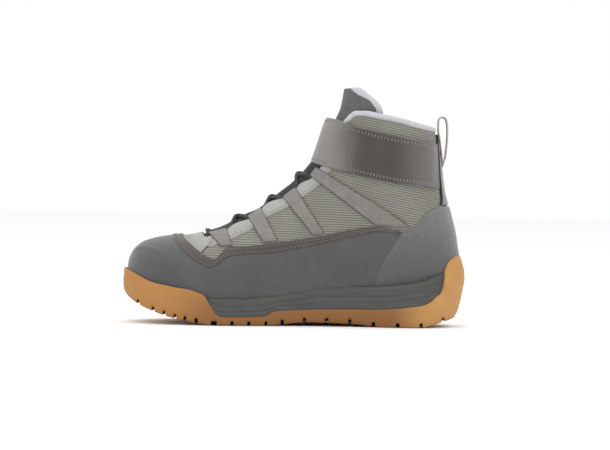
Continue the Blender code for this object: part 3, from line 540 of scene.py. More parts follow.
@dataclass
class Sheet:
    """A layer of the boot, cut to an outline that is seen from the side.

    Attributes:
        name: The piece's name.
        outline: Closed outline in the side view, in metres.
        base: How far its underside stands off the form.
        thickness: How thick it is away from its edges.
        edge: Width of its rounded edge.
        stations: First and last station that it reaches.
        angles: First and last angle; a full turn closes on itself.
        cells: Grid cells along and round the form.
        crown: Extra height in the middle, in metres, over the first crown_reach of depth.
        crown_reach: Depth at which the crown is full.
        rolled: Round it below as well, about its base as the middle.
        relief: Extra height from depths inside the outline and plain places.
    """

    name: str
    outline: Array
    base: float
    thickness: float
    edge: float
    stations: tuple[float, float] = (0.0, LAST_STATION)
    angles: tuple[float, float] = (0.0, TURN)
    cells: tuple[int, int] = (140, 180)
    crown: float = 0.0
    crown_reach: float = 0.006
    rolled: bool = False
    relief: Callable[[Array, Array], Array] | None = None

    def domain(self, form: BootForm) -> Work:
        """The sheet laid flat: station and angle, with the depth inside the outline in mm."""
        work = bmesh.new()
        bmesh.ops.create_grid(work, x_segments=self.cells[0], y_segments=self.cells[1], size=0.5)
        flat = places_of(work)
        station = self.stations[0] + (flat[:, 0] + 0.5) * (self.stations[1] - self.stations[0])
        angle = self.angles[0] + (flat[:, 1] + 0.5) * (self.angles[1] - self.angles[0])
        depth, way = depth_inside(form.bare(station, angle)[:, (0, 2)], self.outline)
        normal = form.normals(station, angle)
        lean = way[:, 0] * normal[:, 0] + way[:, 1] * normal[:, 2]
        depth = depth / np.sqrt(np.clip(1 - lean * lean, 0.06, 1))
        move_vertices(work, np.column_stack((station, angle, depth / MM)))
        for level in EDGE_CUTS:
            geometry = work.verts[:] + work.edges[:] + work.faces[:]
            bmesh.ops.bisect_plane(work, geom=geometry, dist=1e-5,
                                   plane_co=(0, 0, level * self.edge / MM),
                                   plane_no=(0, 0, 1), clear_inner=level == 0)
        return work

    def build(self, form: BootForm) -> Piece:
        """Cut the sheet, wrap it on the form and round its edges.

        Args:
            form: The form that carries it.

        Returns:
            The piece, with its underside as the second material.
        """
        work = self.domain(form)
        flat = places_of(work)
        station, angle, depth = flat[:, 0], flat[:, 1], np.maximum(flat[:, 2] * MM, 0)
        share = np.clip(depth / self.edge, 0, 1)
        rounding = np.sqrt(1 - (1 - share) ** 2)
        height = self.thickness * rounding + self.crown * ease(depth / self.crown_reach)
        if self.relief:
            height += self.relief(depth, form.bare(station, angle)) * rounding
        lower = np.zeros(len(station))
        if self.rolled:
            height -= self.thickness * rounding / 2
            lower -= self.thickness * rounding / 2
        under = work.copy()
        move_vertices(under, form.points(station, angle, self.base + lower))
        bmesh.ops.reverse_faces(under, faces=under.faces[:])
        for face in under.faces:
            face.material_index = 1
        move_vertices(work, form.points(station, angle, self.base + height))
        take_in(work, under)
        bmesh.ops.remove_doubles(work, verts=work.verts, dist=WELD)
        close_holes(work, SMALL_HOLE)
        return finished(self.name, work)


def wrapped_grid(places: Array, scale: tuple[float, float] = (1.0, 1.0)) -> Work:
    """A grid bent through given places, with its meeting edges welded.

    Args:
        places: Array of rows by columns by 3.
        scale: Size of the UV map, along the rows and along the columns, in metres.

    Returns:
        The bmesh, whose UV map runs along the rows in U and along the columns in V.
    """
    rows, columns = places.shape[:2]
    work = bmesh.new()
    uv_map = work.loops.layers.uv.new("UVMap")
    bmesh.ops.create_grid(work, x_segments=rows - 1, y_segments=columns - 1, size=0.5,
                          calc_uvs=True)
    flat = places_of(work)
    row = np.rint((flat[:, 0] + 0.5) * (rows - 1)).astype(int)
    column = np.rint((flat[:, 1] + 0.5) * (columns - 1)).astype(int)
    for face in work.faces:
        for loop in face.loops:
            u, v = loop.vert.co.x + 0.5, loop.vert.co.y + 0.5
            loop[uv_map].uv = (u * scale[0], v * scale[1])
    move_vertices(work, places[row, column])
    bmesh.ops.remove_doubles(work, verts=work.verts, dist=WELD)
    return work


def helper_object(name: str, work: Work) -> Piece:
    """A cutter made of a bmesh, hidden from the render."""
    bmesh.ops.recalc_face_normals(work, faces=work.faces)
    cutter = placed(name, mesh_of(name, work))
    cutter.hide_render = True
    return cutter


def cut_with(piece: Piece, operation: str, *cutters: Piece) -> Piece:
    """Work exact Booleans into a piece's mesh and remove the cutters."""
    for cutter in cutters:
        modifier = piece.modifiers.new(cutter.name, "BOOLEAN")
        modifier.object, modifier.operation, modifier.solver = cutter, operation, "EXACT"
    graph = bpy.context.evaluated_depsgraph_get()
    mesh = bpy.data.meshes.new_from_object(piece.evaluated_get(graph))
    piece.modifiers.clear()
    old, piece.data = piece.data, mesh
    mesh.name = piece.name
    bpy.data.meshes.remove(old)
    for cutter in cutters:
        bpy.data.objects.remove(cutter)
    return piece


def drawn_across(name: str, outline: Array, form: BootForm) -> Piece:
    """A cutter made by drawing a side view's outline out across the boot."""
    work = bmesh.new()
    reach = form.ball_width
    corners = [work.verts.new((x - form.length / 2, -reach, z)) for x, z in outline]
    drawn = bmesh.ops.extrude_face_region(work, geom=[work.faces.new(corners)])
    moved = [item for item in drawn["geom"] if isinstance(item, bmesh.types.BMVert)]
    bmesh.ops.translate(work, verts=moved, vec=(0, 2 * reach, 0))
    return helper_object(name, work)


def form_body(name: str, form: BootForm, offset: float, cells: tuple[int, int]) -> Piece:
    """The whole form at an offset, as a closed cutter."""
    stations = np.linspace(0, LAST_STATION, cells[0])[:, None]
    angles = np.linspace(0, TURN, cells[1])[None, :]
    work = wrapped_grid(form.points(stations, angles, offset))
    close_holes(work)
    return helper_object(name, work)


@dataclass
class Sole:
    """The gum outsole, the midsole in its cup and the insole.

    Attributes:
        form: The form that stands in it.
        heel_radius: Radius of the plan's heel end.
        toe_radius: Radius of the plan's toe end.
        base: Thickness of the outsole's floor.
        cup_lip: Width of the outsole's lip.
        lug_depth: Depth of the gaps between lugs.
        lug_reach: How far the edge lugs reach in.
        channel: Width of the long channels.
        channel_spread: How far apart the long channels run.
        centre_pitch: From one centre lug to the next.
        columns: Points round the plan.
        insole: Thickness of the insole.
        heel_tuck: How far the midsole stands in over the heel's gum.
    """

    form: BootForm
    heel_radius: float = 0.036
    toe_radius: float = 0.044
    base: float = 0.006
    cup_lip: float = 0.008
    lug_depth: float = 0.0042
    lug_reach: float = 0.026
    channel: float = 0.004
    channel_spread: float = 0.030
    centre_pitch: float = 0.016
    columns: int = 480
    insole: float = 0.0045
    heel_tuck: float = 0.0040

    def __post_init__(self) -> None:
        """Settle where the middle of the sole's box lies."""
        round_plan = self.plan(np.linspace(0, TURN, 721))
        self.form.plan_centre = float(round_plan[:, 1].max() + round_plan[:, 1].min()) / 2

    def height(self, rows: Rows, x: Array) -> Array:
        """Height of a line along the sole at x, measured from the heel's rear."""
        shares = np.array(rows)
        return hermite(shares[:, 0] * self.form.length, shares[:, 1] * self.form.back_height, x)

    def plan(self, angles: Array, inset: Any = 0.0) -> Array:
        """The sole's plan at angles, 0 at the heel and pi at the toe, stood in by the insets."""
        rows = np.array(PLAN_ROWS)
        along = np.concatenate(([0], rows[:, 0], [1]))
        ends = np.sqrt(2 * np.array((self.heel_radius, self.toe_radius)) * self.form.length) / 2
        swell = 2 * np.sqrt(rows[:, 0] * (1 - rows[:, 0]))
        width = self.form.ball_width
        fullness = np.concatenate(([ends[0]], rows[:, 2] * width / swell, [ends[1]]))
        middle = np.concatenate(([rows[0, 1]], rows[:, 1], [rows[-1, 1]])) * width

        def edge(angle: Array) -> Array:
            """The plan's edge at angles."""
            share = (1 - np.cos(angle)) / 2
            y = (hermite(along, middle, share, False)
                 + hermite(along, fullness, share, False) * np.sin(angle))
            return np.column_stack((share * self.form.length, y))

        run = unit(edge(angles + 0.004) - edge(angles - 0.004))
        inwards = np.column_stack((run[:, 1], -run[:, 0]))
        return edge(angles) + inwards * np.broadcast_to(inset, angles.shape)[:, None]

    def angles(self) -> Array:
        """Angles round the plan, with the last on the first."""
        return np.linspace(0, TURN, self.columns + 1)

    def spine(self, x: Array) -> Array:
        """Middle of the sole's width at places along it."""
        angle = np.arccos(np.clip(1 - 2 * x / self.form.length, -1, 1))
        return (self.plan(angle)[:, 1] + self.plan(-angle)[:, 1]) / 2

    def bed_line(self, count: int, lift: float = 0.0) -> Array:
        """The bed under the foot, or a line at a lift over it, in the side view."""
        along = np.linspace(-BEYOND, 1 + BEYOND, count) * self.form.length
        return np.column_stack((along, self.height(BED, along) + lift))

    def rim(self) -> Array:
        """Height of the outsole's rim round the plan."""
        return self.height(OUTSOLE_RIM, self.plan(self.angles())[:, 0])

    def floor(self, inset: float) -> Array:
        """Height of the cup's floor round the plan at an inset."""
        x = self.plan(self.angles(), inset)[:, 0]
        return np.minimum(self.height(UNDERSIDE, x) + self.base, self.rim() - RIM_ABOVE_FLOOR)

    def ring(self, insets: Any, heights: Array) -> Array:
        """A row of points over the plan, in the frame's axes."""
        plan = self.plan(self.angles(), insets)
        return np.column_stack((plan[:, 0] - self.form.length / 2,
                                plan[:, 1] - self.form.plan_centre, heights))

    def towards_spine(self, row: Array, share: float, lift: Callable[[Array], Array]) -> Array:
        """A row moved in towards the sole's middle line, at the heights that lift gives."""
        length = self.form.length
        x = np.clip(length * (1 - np.cos(self.angles())) / 2, 0.011, length - 0.011)
        middle = self.spine(x) - self.form.plan_centre
        y = row[:, 1] + (middle - row[:, 1]) * share
        moved_x = row[:, 0] + (x - length / 2 - row[:, 0]) * share
        return np.column_stack((moved_x, y, lift(moved_x + length / 2)))

    def side_insets(self, x: Array, row: Sequence[float]) -> Array:
        """How far the outsole's side stands in at a row of SIDE_ROWS."""
        length = self.form.length
        heel, toe = ease(1 - x / (0.16 * length)), ease((x - 0.74 * length) / (0.16 * length))
        share = heel * row[1] + (1 - heel) * (1 - toe) * row[2] + toe * row[3]
        return share * self.form.ball_width

    def shell(self, name: str, rows: list[Array], lift_low: Callable[[Array], Array],
              lift_high: Callable[[Array], Array]) -> Piece:
        """A closed block through rows of points, with its underside and top carried to the spine."""
        shares = (1.0, 0.75, 0.5, 0.25)
        low = [self.towards_spine(rows[0], share, lift_low) for share in shares]
        high = [self.towards_spine(rows[-1], share, lift_high) for share in reversed(shares)]
        work = wrapped_grid(np.array(low + rows + high))
        bmesh.ops.recalc_face_normals(work, faces=work.faces)
        return finished(name, work)

    def foot_well(self) -> Piece:
        """The room that the upper takes up above the bed."""
        form = self.form
        well = form_body("foot_well", form, WELL_ROOM, (90, 72))
        top = form.side_view(((1 + BEYOND, 2.0), (-BEYOND, 2.0)))
        above = drawn_across("above_bed", np.vstack((self.bed_line(40), top)), form)
        return cut_with(well, "INTERSECT", above)

    def bar(self, work: Work, x: float, width: float, low_y: float, high_y: float,
            slant: float) -> None:
        """Add one gap between lugs to a cutter, narrower above and slanted across."""
        top = float(self.height(UNDERSIDE, x)) + self.lug_depth
        upper = LUG_TAPER / 2
        corners = []
        for y, lead in ((low_y, -slant), (high_y, slant)):
            for dx, z in ((-0.5, BELOW_FLOOR), (0.5, BELOW_FLOOR), (upper, top), (-upper, top)):
                corners.append(work.verts.new((x + dx * width + lead - self.form.length / 2,
                                               y - self.form.plan_centre, z)))
        for index in ((0, 1, 2, 3), (4, 5, 6, 7), (0, 1, 5, 4), (1, 2, 6, 5), (2, 3, 7, 6),
                      (3, 0, 4, 7)):
            work.faces.new([corners[i] for i in index])

    def edges_at(self, x: float) -> tuple[float, float]:
        """The plan's inner and outer edge at x."""
        angle = math.acos(1 - 2 * x / self.form.length)
        edge = self.plan(np.array((angle, -angle)))[:, 1]
        return float(edge[0]), float(edge[1])

    def centre_at(self, x: float) -> tuple[float, float]:
        """Middle and half width of the lugs between the long channels at x."""
        inner, outer = self.edges_at(x)
        half = min(self.channel_spread / 2, (inner - outer) / 2 - CHANNEL_MARGIN)
        return (inner + outer) / 2, half

    def long_channel(self, start: float, end: float, side: int) -> Work:
        """A cutter for one long channel between two places along the sole."""
        wide, slim = self.channel / 2, CHANNEL_TAPER * self.channel / 2
        places = []
        for x in np.linspace(start, end, 25):
            middle, half = self.centre_at(x)
            y = middle + side * half - self.form.plan_centre
            top = float(self.height(UNDERSIDE, x)) + CHANNEL_SHARE * self.lug_depth
            places.append([(x - self.form.length / 2, y + dy, z) for dy, z in
                           ((-wide, BELOW_FLOOR), (wide, BELOW_FLOOR), (slim, top),
                            (-slim, top), (-wide, BELOW_FLOOR))])
        work = wrapped_grid(np.array(places))
        close_holes(work)
        return work

    def tread_cutters(self) -> list[Piece]:
        """Cutters for the gaps between edge lugs, the centre lugs and the long channels."""
        length = self.form.length
        edge_bars, centre_bars, channels = bmesh.new(), bmesh.new(), bmesh.new()
        for share, width in LUG_GAPS:
            x = share * length
            inner, outer = self.edges_at(x)
            reach = min(self.lug_reach, (inner - outer) / 2 - LUG_MARGIN)
            self.bar(edge_bars, x, width, inner - reach, inner + BESIDE, LUG_SLANT)
            self.bar(edge_bars, x, width, outer - BESIDE, outer + reach, -LUG_SLANT)
        for start, end in CENTRE_ZONES:
            for index in range(1, int((end - start) * length / self.centre_pitch)):
                x = start * length + index * self.centre_pitch
                middle, half = self.centre_at(x)
                self.bar(centre_bars, x, CENTRE_GAP, middle - half, middle + half, CENTRE_SLANT)
            for side in (1, -1):
                take_in(channels, self.long_channel(start * length, end * length, side))
        return [helper_object("edge_gaps", edge_bars), helper_object("centre_gaps", centre_bars),
                helper_object("long_channels", channels)]

    def outsole(self) -> Piece:
        """The gum outsole: a cup with a lip round toe and heel, and lugs below."""
        x = self.plan(self.angles())[:, 0]
        rim = self.rim()
        rows = []
        for row in SIDE_ROWS:
            insets = self.side_insets(x, row)
            own_x = self.plan(self.angles(), insets)[:, 0]
            low = self.height(UNDERSIDE, own_x)
            rows.append(self.ring(insets, low + (rim - low) * row[0]))
        inner = self.cup_lip
        rows += [self.ring(inner, rim), self.ring(inner, self.floor(inner))]
        piece = self.shell("gum_outsole", rows, lambda at: self.height(UNDERSIDE, at),
                           lambda at: self.height(UNDERSIDE, at) + self.base)
        cut_with(piece, "DIFFERENCE", self.foot_well(), *self.tread_cutters())
        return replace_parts(piece, "outsole")

    def midsole(self) -> Piece:
        """The midsole, which shows above the outsole's rim along the middle."""
        x = self.plan(self.angles())[:, 0]
        rim = self.rim()
        inner = self.cup_lip + CUP_ROOM
        top = np.maximum(self.height(MIDSOLE_RIM, x), rim + LEDGE_OVER)
        shows = ease((self.height(MIDSOLE_RIM, x) - rim) / LEDGE_OVER)
        tucked = self.heel_tuck * ease((0.12 * self.form.length - x) / (0.06 * self.form.length))
        ledge = rim - LEDGE_UNDER
        rows = [self.ring(inner, self.floor(inner) + CUP_ROOM), self.ring(inner, ledge)]
        for share, inset in MIDSOLE_SIDE:
            out = (inset * self.form.ball_width + tucked) * shows + inner * (1 - shows)
            rows.append(self.ring(out, ledge + (top - ledge) * (0.001 + 0.999 * share)))
        rows.append(self.ring(self.cup_lip + WELL_ROOM, top))
        piece = self.shell("foam_midsole", rows,
                           lambda at: self.height(UNDERSIDE, at) + self.base + CUP_ROOM,
                           lambda at: self.height(BED, at) + OVER_BED)
        cut_with(piece, "DIFFERENCE", self.foot_well())
        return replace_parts(piece, "midsole")

    def footbed(self) -> Piece:
        """The insole, cut from the room inside the upper."""
        form = self.form
        low = self.bed_line(80, CUP_ROOM)
        slab = np.vstack((low, low[::-1] + (0, self.insole)))
        room = form_body("insole_room", form, -0.0028, (110, 120))
        piece = drawn_across("cloth_insole", slab, form)
        piece.hide_render = False
        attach(piece, "root")
        cut_with(piece, "INTERSECT", room)
        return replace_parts(piece, "insole")


class Term:
    """A shader value; an expression on it adds the Math nodes that work it out."""

    def __init__(self, bench: "Bench", socket: Socket) -> None:
        """Keep the socket and the bench that it belongs to."""
        self.bench = bench
        self.socket = socket

    def math(self, operation: str, *values: Any) -> "Term":
        """The result of a Math node on the values."""
        return Term(self.bench, self.bench.node("ShaderNodeMath", {"operation": operation},
                                                *values).outputs[0])

    def __add__(self, other: Any) -> "Term":
        """Sum."""
        return self.math("ADD", self, other)

    __radd__ = __add__

    def __sub__(self, other: Any) -> "Term":
        """Difference."""
        return self.math("SUBTRACT", self, other)

    def __rsub__(self, other: Any) -> "Term":
        """Difference from a number."""
        return self.math("SUBTRACT", other, self)

    def __mul__(self, other: Any) -> "Term":
        """Product."""
        return self.math("MULTIPLY", self, other)

    __rmul__ = __mul__

    def wave(self) -> "Term":
        """Sine, brought to run from 0 to 1."""
        return self.math("SINE", self) * 0.5 + 0.5

    def step(self, low: float, high: float) -> "Term":
        """A smooth step from 0 at low to 1 at high."""
        node = self.bench.node("ShaderNodeMapRange", {"interpolation_type": "SMOOTHSTEP"},
                               self, low, high, 0.0, 1.0)
        return Term(self.bench, node.outputs[0])


class Bench:
    """One finish's material and the nodes on it."""

    def __init__(self, name: str) -> None:
        """Start a material with a Principled shader."""
        self.material = bpy.data.materials.new(name)
        self.material.use_nodes = True
        self.tree = self.material.node_tree
        self.shader = self.tree.nodes["Principled BSDF"]
        self.place = self.node("ShaderNodeTexCoord").outputs["Object"]

    def node(self, kind: str, settings: dict[str, Any] | None = None,
             *values: Any, **named: Any) -> bpy.types.Node:
        """Add a node.

        Args:
            kind: Its type.
            settings: Its options, set first.
            values: Values or links of its first sockets, None to skip one.
            named: Values or links of sockets by name, with _ for a space.

        Returns:
            The node.
        """
        made = self.tree.nodes.new(kind)
        for option, value in (settings or {}).items():
            setattr(made, option, value)
        pairs = [(made.inputs[index], value) for index, value in enumerate(values)]
        pairs += [(made.inputs[name.replace("_", " ")], value) for name, value in named.items()]
        for socket, value in pairs:
            self.feed(socket, value)
        return made

    def feed(self, socket: Socket, value: Any) -> None:
        """Link or set one socket."""
        if value is None:
            return
        if isinstance(value, Term):
            value = value.socket
        if isinstance(value, Socket):
            self.tree.links.new(value, socket)
        elif isinstance(value, tuple) and len(value) == 3 and len(socket.default_value) == 4:
            socket.default_value = (*value, 1)
        else:
            socket.default_value = value

    def axes(self, source: Any = None) -> tuple[Term, Term, Term]:
        """The parts of a place, the Object coordinates unless another is given."""
        parts = self.node("ShaderNodeSeparateXYZ", None, source or self.place)
        return tuple(Term(self, output) for output in parts.outputs)

    def uv(self) -> tuple[Term, Term]:
        """The piece's own UV map, in metres along and across it."""
        along, across, _ = self.axes(self.node("ShaderNodeUVMap", {"uv_map": "UVMap"}).outputs[0])
        return along, across

    def vector(self, *parts: Any) -> Socket:
        """A place put together from three values."""
        return self.node("ShaderNodeCombineXYZ", None, *parts).outputs[0]

    def noise(self, scale: float, detail: float = 3.0, place: Any = None,
              rough: float = 0.55) -> Term:
        """Soft noise from 0 to 1; scale counts its lumps in a metre."""
        made = self.node("ShaderNodeTexNoise", {"noise_dimensions": "3D"},
                         Vector=place or self.place, Scale=scale, Detail=detail, Roughness=rough)
        return Term(self, made.outputs[0])

    def cells(self, scale: float, feature: str = "F1") -> Term:
        """Distance to the nearest grain point, or to its cell's edge."""
        made = self.node("ShaderNodeTexVoronoi", {"feature": feature},
                         Vector=self.place, Scale=scale)
        return Term(self, made.outputs["Distance"])

    def blend(self, share: Any, first: Any, second: Any) -> Socket:
        """A colour between two, by a share from 0 to 1."""
        made = self.node("ShaderNodeMix", {"data_type": "RGBA"}, share, None, None, None, None,
                         None, first, second)
        return made.outputs[2]

    def relief(self, height: Term, depth: float) -> Socket:
        """A bumped normal; depth is what a height of 1 stands for, in metres."""
        return self.node("ShaderNodeBump", None, Strength=1.0, Distance=depth,
                         Height=height).outputs[0]

    def dress(self, colour: Any, roughness: Any, normal: Any = None, sheen: float = 0.0,
              specular: float = 0.5) -> Material:
        """Give the shader its values and return the material."""
        self.feed(self.shader.inputs["Base Color"], colour)
        self.feed(self.shader.inputs["Roughness"], roughness)
        self.feed(self.shader.inputs["Normal"], normal)
        self.shader.inputs["Sheen Weight"].default_value = sheen
        self.shader.inputs["Sheen Roughness"].default_value = 0.6
        self.shader.inputs["Specular IOR Level"].default_value = specular
        return self.material


@dataclass(frozen=True)
class Finish:
    """A plain finish; others build on it.

    Attributes:
        name: The material's name.
        colour: Its main colour.
        second: The colour that it varies to.
        roughness: Its middle roughness.
    """

    name: str
    colour: tuple[float, float, float]
    second: tuple[float, float, float]
    roughness: float = 0.8

    def look(self, bench: Bench) -> Material:
        """Dress the bench's material: soft clouds of colour and a fine tooth."""
        clouds = bench.noise(90.0, 4.0)
        tooth = bench.noise(2600.0, 2.0)
        return bench.dress(bench.blend(clouds, self.colour, self.second),
                           self.roughness - 0.1 + 0.2 * tooth,
                           bench.relief(tooth, 0.00012), sheen=0.1, specular=0.3)

    def material(self) -> Material:
        """The finish's material, made once."""
        name = f"{self.name}_finish"
        return bpy.data.materials.get(name) or self.look(Bench(name))


@dataclass(frozen=True)
class GumRubber(Finish):
    """Matt gum rubber with painted shade along the middle, dusty low down."""

    def look(self, bench: Bench) -> Material:
        """Clouds, painted shade along the middle, dusty edges and a fine skin."""
        x, _, z = bench.axes()
        # Painted shade: the middle mask darkens the gum along the arch under the midsole, most near
        # the floor (deep).
        middle = x.step(-0.125, -0.085) * (1 - x.step(0.060, 0.125))
        clouds = bench.noise(55.0, 5.0)
        ends = bench.blend(x.step(-0.12, 0.10), self.colour, self.second)
        base = bench.blend(clouds.step(0.3, 0.75) * 0.3, ends, (0.33, 0.155, 0.045))
        deep = bench.blend(middle * (1 - z.step(0.012, 0.030) * 0.35), base,
                           (0.226, 0.094, 0.025))
        specks = bench.noise(900.0, 3.0).step(0.62, 0.74)
        # The dark dust specks low down go over the painted shade of the middle.
        worn = bench.blend(specks * 0.35 * (1 - z.step(0.004, 0.03)), deep, (0.10, 0.055, 0.03))
        skin = bench.noise(1900.0, 2.0)
        return bench.dress(worn, 0.50 + 0.18 * clouds + 0.1 * skin,
                           bench.relief(skin * 0.5 + clouds, 0.00015), specular=0.4)


@dataclass(frozen=True)
class Foam(Finish):
    """Moulded midsole foam with a faint pebbled skin."""

    def look(self, bench: Bench) -> Material:
        """Pebbles and faint streaks along it."""
        x, y, z = bench.axes()
        streaks = bench.noise(1.0, 4.0, bench.vector(x * 60, y * 60, z * 700))
        pebbles = bench.cells(1400.0)
        colour = bench.blend(streaks.step(0.3, 0.8), self.colour, self.second)
        return bench.dress(colour, 0.72 + 0.15 * streaks,
                           bench.relief(pebbles * 0.6 + streaks * 0.5, 0.00012), specular=0.3)


@dataclass(frozen=True)
class RibbedMesh(Finish):
    """Ribbed mesh cloth: light ribs with dark lines between them and a slanted weave.

    The ribs lie level on the quarter and drop to the rear above the topmost loop.

    Attributes:
        pitch: From one rib to the next.
        weave: From one slanted thread to the next.
    """

    pitch: float = 0.0022
    weave: float = 0.00085

    def look(self, bench: Bench) -> Material:
        """Ribs in two directions over a slanted weave."""
        x, y, z = bench.axes()
        turn = TURN / self.pitch
        sway = bench.noise(22.0, 1.0) * 0.0016
        quarter = ((z - 0.03 * x + sway) * turn).wave()
        shaft = ((z - 0.20 * x + sway) * turn).wave()
        above = (z - 0.50 * x).step(0.1405, 0.1425)
        rib = quarter * (1 - above) + shaft * above
        line = 1 - rib.step(0.04, 0.42)
        slant = ((x + y * 0.35 + z * 0.7) * (TURN / self.weave)).wave()
        knit = bench.noise(2400.0, 2.0)
        clouds = bench.noise(35.0, 4.0)
        thread = bench.blend(clouds.step(0.3, 0.7), self.colour, self.second)
        shaded = bench.blend((1 - slant) * 0.30 + knit * 0.25, thread, (0.16, 0.155, 0.13))
        dark = bench.blend(line * 0.72, shaded, (0.085, 0.08, 0.066))
        height = rib.step(0.0, 0.55) + slant * 0.18 + knit * 0.3
        return bench.dress(dark, 0.78 + 0.14 * line, bench.relief(height, 0.00042),
                           sheen=0.15, specular=0.25)


@dataclass(frozen=True)
class PlainWeave(Finish):
    """Smooth woven cloth.

    Attributes:
        thread: From one thread to the next.
    """

    thread: float = 0.0006

    def look(self, bench: Bench) -> Material:
        """Two crossing sets of threads with soft clouds of colour."""
        x, y, z = bench.axes()
        turn = TURN / self.thread
        warp = ((x + z * 0.4) * turn).wave()
        weft = ((y + z - x * 0.4) * turn).wave()
        clouds = bench.noise(60.0, 4.0)
        lint = bench.noise(1500.0, 3.0)
        colour = bench.blend(clouds * 0.6 + lint * 0.4, self.colour, self.second)
        return bench.dress(colour, self.roughness, bench.relief(warp * weft + lint * 0.6, 0.00014),
                           sheen=0.2, specular=0.25)


@dataclass(frozen=True)
class Suede(Finish):
    """Brushed leather or microfibre: a short nap with worn, lighter places.

    Attributes:
        nap: Depth of the nap's relief.
        patch: How strongly its shade varies.
    """

    nap: float = 0.00016
    patch: float = 0.8

    def shade(self, bench: Bench, wide: Term, brushed: Term, nap: Term) -> Socket:
        """Its colour, from noise in three sizes."""
        share = (wide.step(0.32, 0.7) * 0.6 + brushed.step(0.35, 0.7) * 0.4) * self.patch
        colour = bench.blend(share, self.colour, self.second)
        return bench.blend(nap * 0.25, colour, (0.02, 0.02, 0.02))

    def look(self, bench: Bench) -> Material:
        """Brushed clouds in two sizes with a napped surface."""
        wide = bench.noise(38.0, 4.0)
        brushed = bench.noise(240.0, 4.0, rough=0.65)
        nap = bench.noise(3000.0, 2.0)
        return bench.dress(self.shade(bench, wide, brushed, nap),
                           self.roughness + 0.12 * brushed - 0.05,
                           bench.relief(nap * 0.6 + brushed * 0.6, self.nap), sheen=0.35,
                           specular=0.22)


@dataclass(frozen=True)
class CounterSuede(Suede):
    """The counter's microfibre, with painted light that pales it towards its top."""

    def shade(self, bench: Bench, wide: Term, brushed: Term, nap: Term) -> Socket:
        """A colour with painted light that lightens it with height."""
        _, _, z = bench.axes()
        # Painted light: the counter turns to its lighter second colour towards its top.
        high = (z + wide * 0.02).step(0.060, 0.125)
        colour = bench.blend(high, self.colour, self.second)
        return bench.blend(brushed.step(0.35, 0.7) * 0.3 + nap * 0.15, colour,
                           (0.06, 0.06, 0.06))


@dataclass(frozen=True)
class StrapNubuck(Suede):
    """The ankle strap's nubuck, with painted light that pales it at its front and towards its rear.
    """

    def look(self, bench: Bench) -> Material:
        """A napped leather, with painted light that pales it in front of the upright seam and
        behind.
        """
        x, _, _ = bench.axes()
        wide = bench.noise(30.0, 4.0)
        brushed = bench.noise(260.0, 4.0, rough=0.65)
        nap = bench.noise(3000.0, 2.0)
        place = x + wide * 0.010
        # Painted light: the strap pales in front of the upright seam and towards its rear.
        painted_light_share = place.step(-0.058, -0.022) + (1 - place.step(-0.125, -0.075)) * 0.55
        base = bench.blend(wide.step(0.35, 0.7) * 0.5 + brushed * 0.4, self.colour, self.second)
        pale = bench.blend(painted_light_share, base, (0.192, 0.181, 0.172))
        return bench.dress(pale, self.roughness + 0.1 * brushed,
                           bench.relief(nap * 0.6 + brushed * 0.7, self.nap), sheen=0.3,
                           specular=0.2)


@dataclass(frozen=True)
class Leather(Finish):
    """Grained leather with a low sheen.

    Attributes:
        grain: Grains in a metre.
        dark_below: Heights between which it turns from charcoal to its own colour.
    """

    grain: float = 900.0
    dark_below: tuple[float, float] = (0.150, 0.154)

    def look(self, bench: Bench) -> Material:
        """Grain cells with darker furrows and lighter clouds."""
        wobble = bench.noise(500.0, 2.0)
        grains = bench.cells(self.grain, feature="DISTANCE_TO_EDGE")
        clouds = bench.noise(70.0, 4.0)
        colour = bench.blend(clouds.step(0.3, 0.7), self.colour, self.second)
        furrow = 1 - grains.step(0.0, 0.16)
        shaded = bench.blend(furrow * 0.5, colour, (0.02, 0.018, 0.016))
        _, _, z = bench.axes()
        shaded = bench.blend(z.step(*self.dark_below), (0.022, 0.022, 0.024), shaded)
        return bench.dress(shaded, self.roughness + 0.15 * wobble,
                           bench.relief(grains.step(0.0, 0.3) + wobble * 0.4, 0.00016),
                           specular=0.4)


@dataclass(frozen=True)
class Webbing(Finish):
    """Woven tape that follows the piece's own UV map: U along it and V across.

    Attributes:
        yarn: From one yarn to the next.
    """

    yarn: float = 0.0011

    def look(self, bench: Bench) -> Material:
        """Rows of slanted yarns with fuzz."""
        along, across = bench.uv()
        turn = TURN / self.yarn
        bars = (across * turn).wave()
        skew = ((along + across * 0.6) * (turn * 1.2)).wave()
        back = ((along - across * 0.6) * (turn * 1.2)).wave()
        weave = bars.step(0.4, 0.6)
        yarns = skew * weave + back * (1 - weave)
        fuzz = bench.noise(1800.0, 3.0)
        clouds = bench.noise(120.0, 3.0)
        colour = bench.blend(clouds.step(0.3, 0.7), self.colour, self.second)
        shaded = bench.blend((1 - yarns) * 0.4 + fuzz * 0.15, colour, (0.07, 0.06, 0.055))
        return bench.dress(shaded, 0.85, bench.relief(yarns + fuzz * 0.5, 0.0002), sheen=0.15,
                           specular=0.2)


@dataclass(frozen=True)
class BraidedCord(Finish):
    """Braided round lace: U along it and V round it, both in metres.

    Attributes:
        strand: From one strand to the next along the lace.
    """

    strand: float = 0.0016

    def look(self, bench: Bench) -> Material:
        """Two opposite spirals of strands."""
        along, around = bench.uv()
        turn = TURN / self.strand
        left, right = ((along + around) * turn).wave(), ((along - around) * turn).wave()
        pick = (around * turn).wave().step(0.35, 0.65)
        strands = left * pick + right * (1 - pick)
        fuzz = bench.noise(2600.0, 2.0)
        colour = bench.blend(strands * 0.7 + fuzz * 0.3, self.second, self.colour)
        return bench.dress(colour, 0.82, bench.relief(strands + fuzz * 0.3, 0.00022), sheen=0.1,
                           specular=0.25)


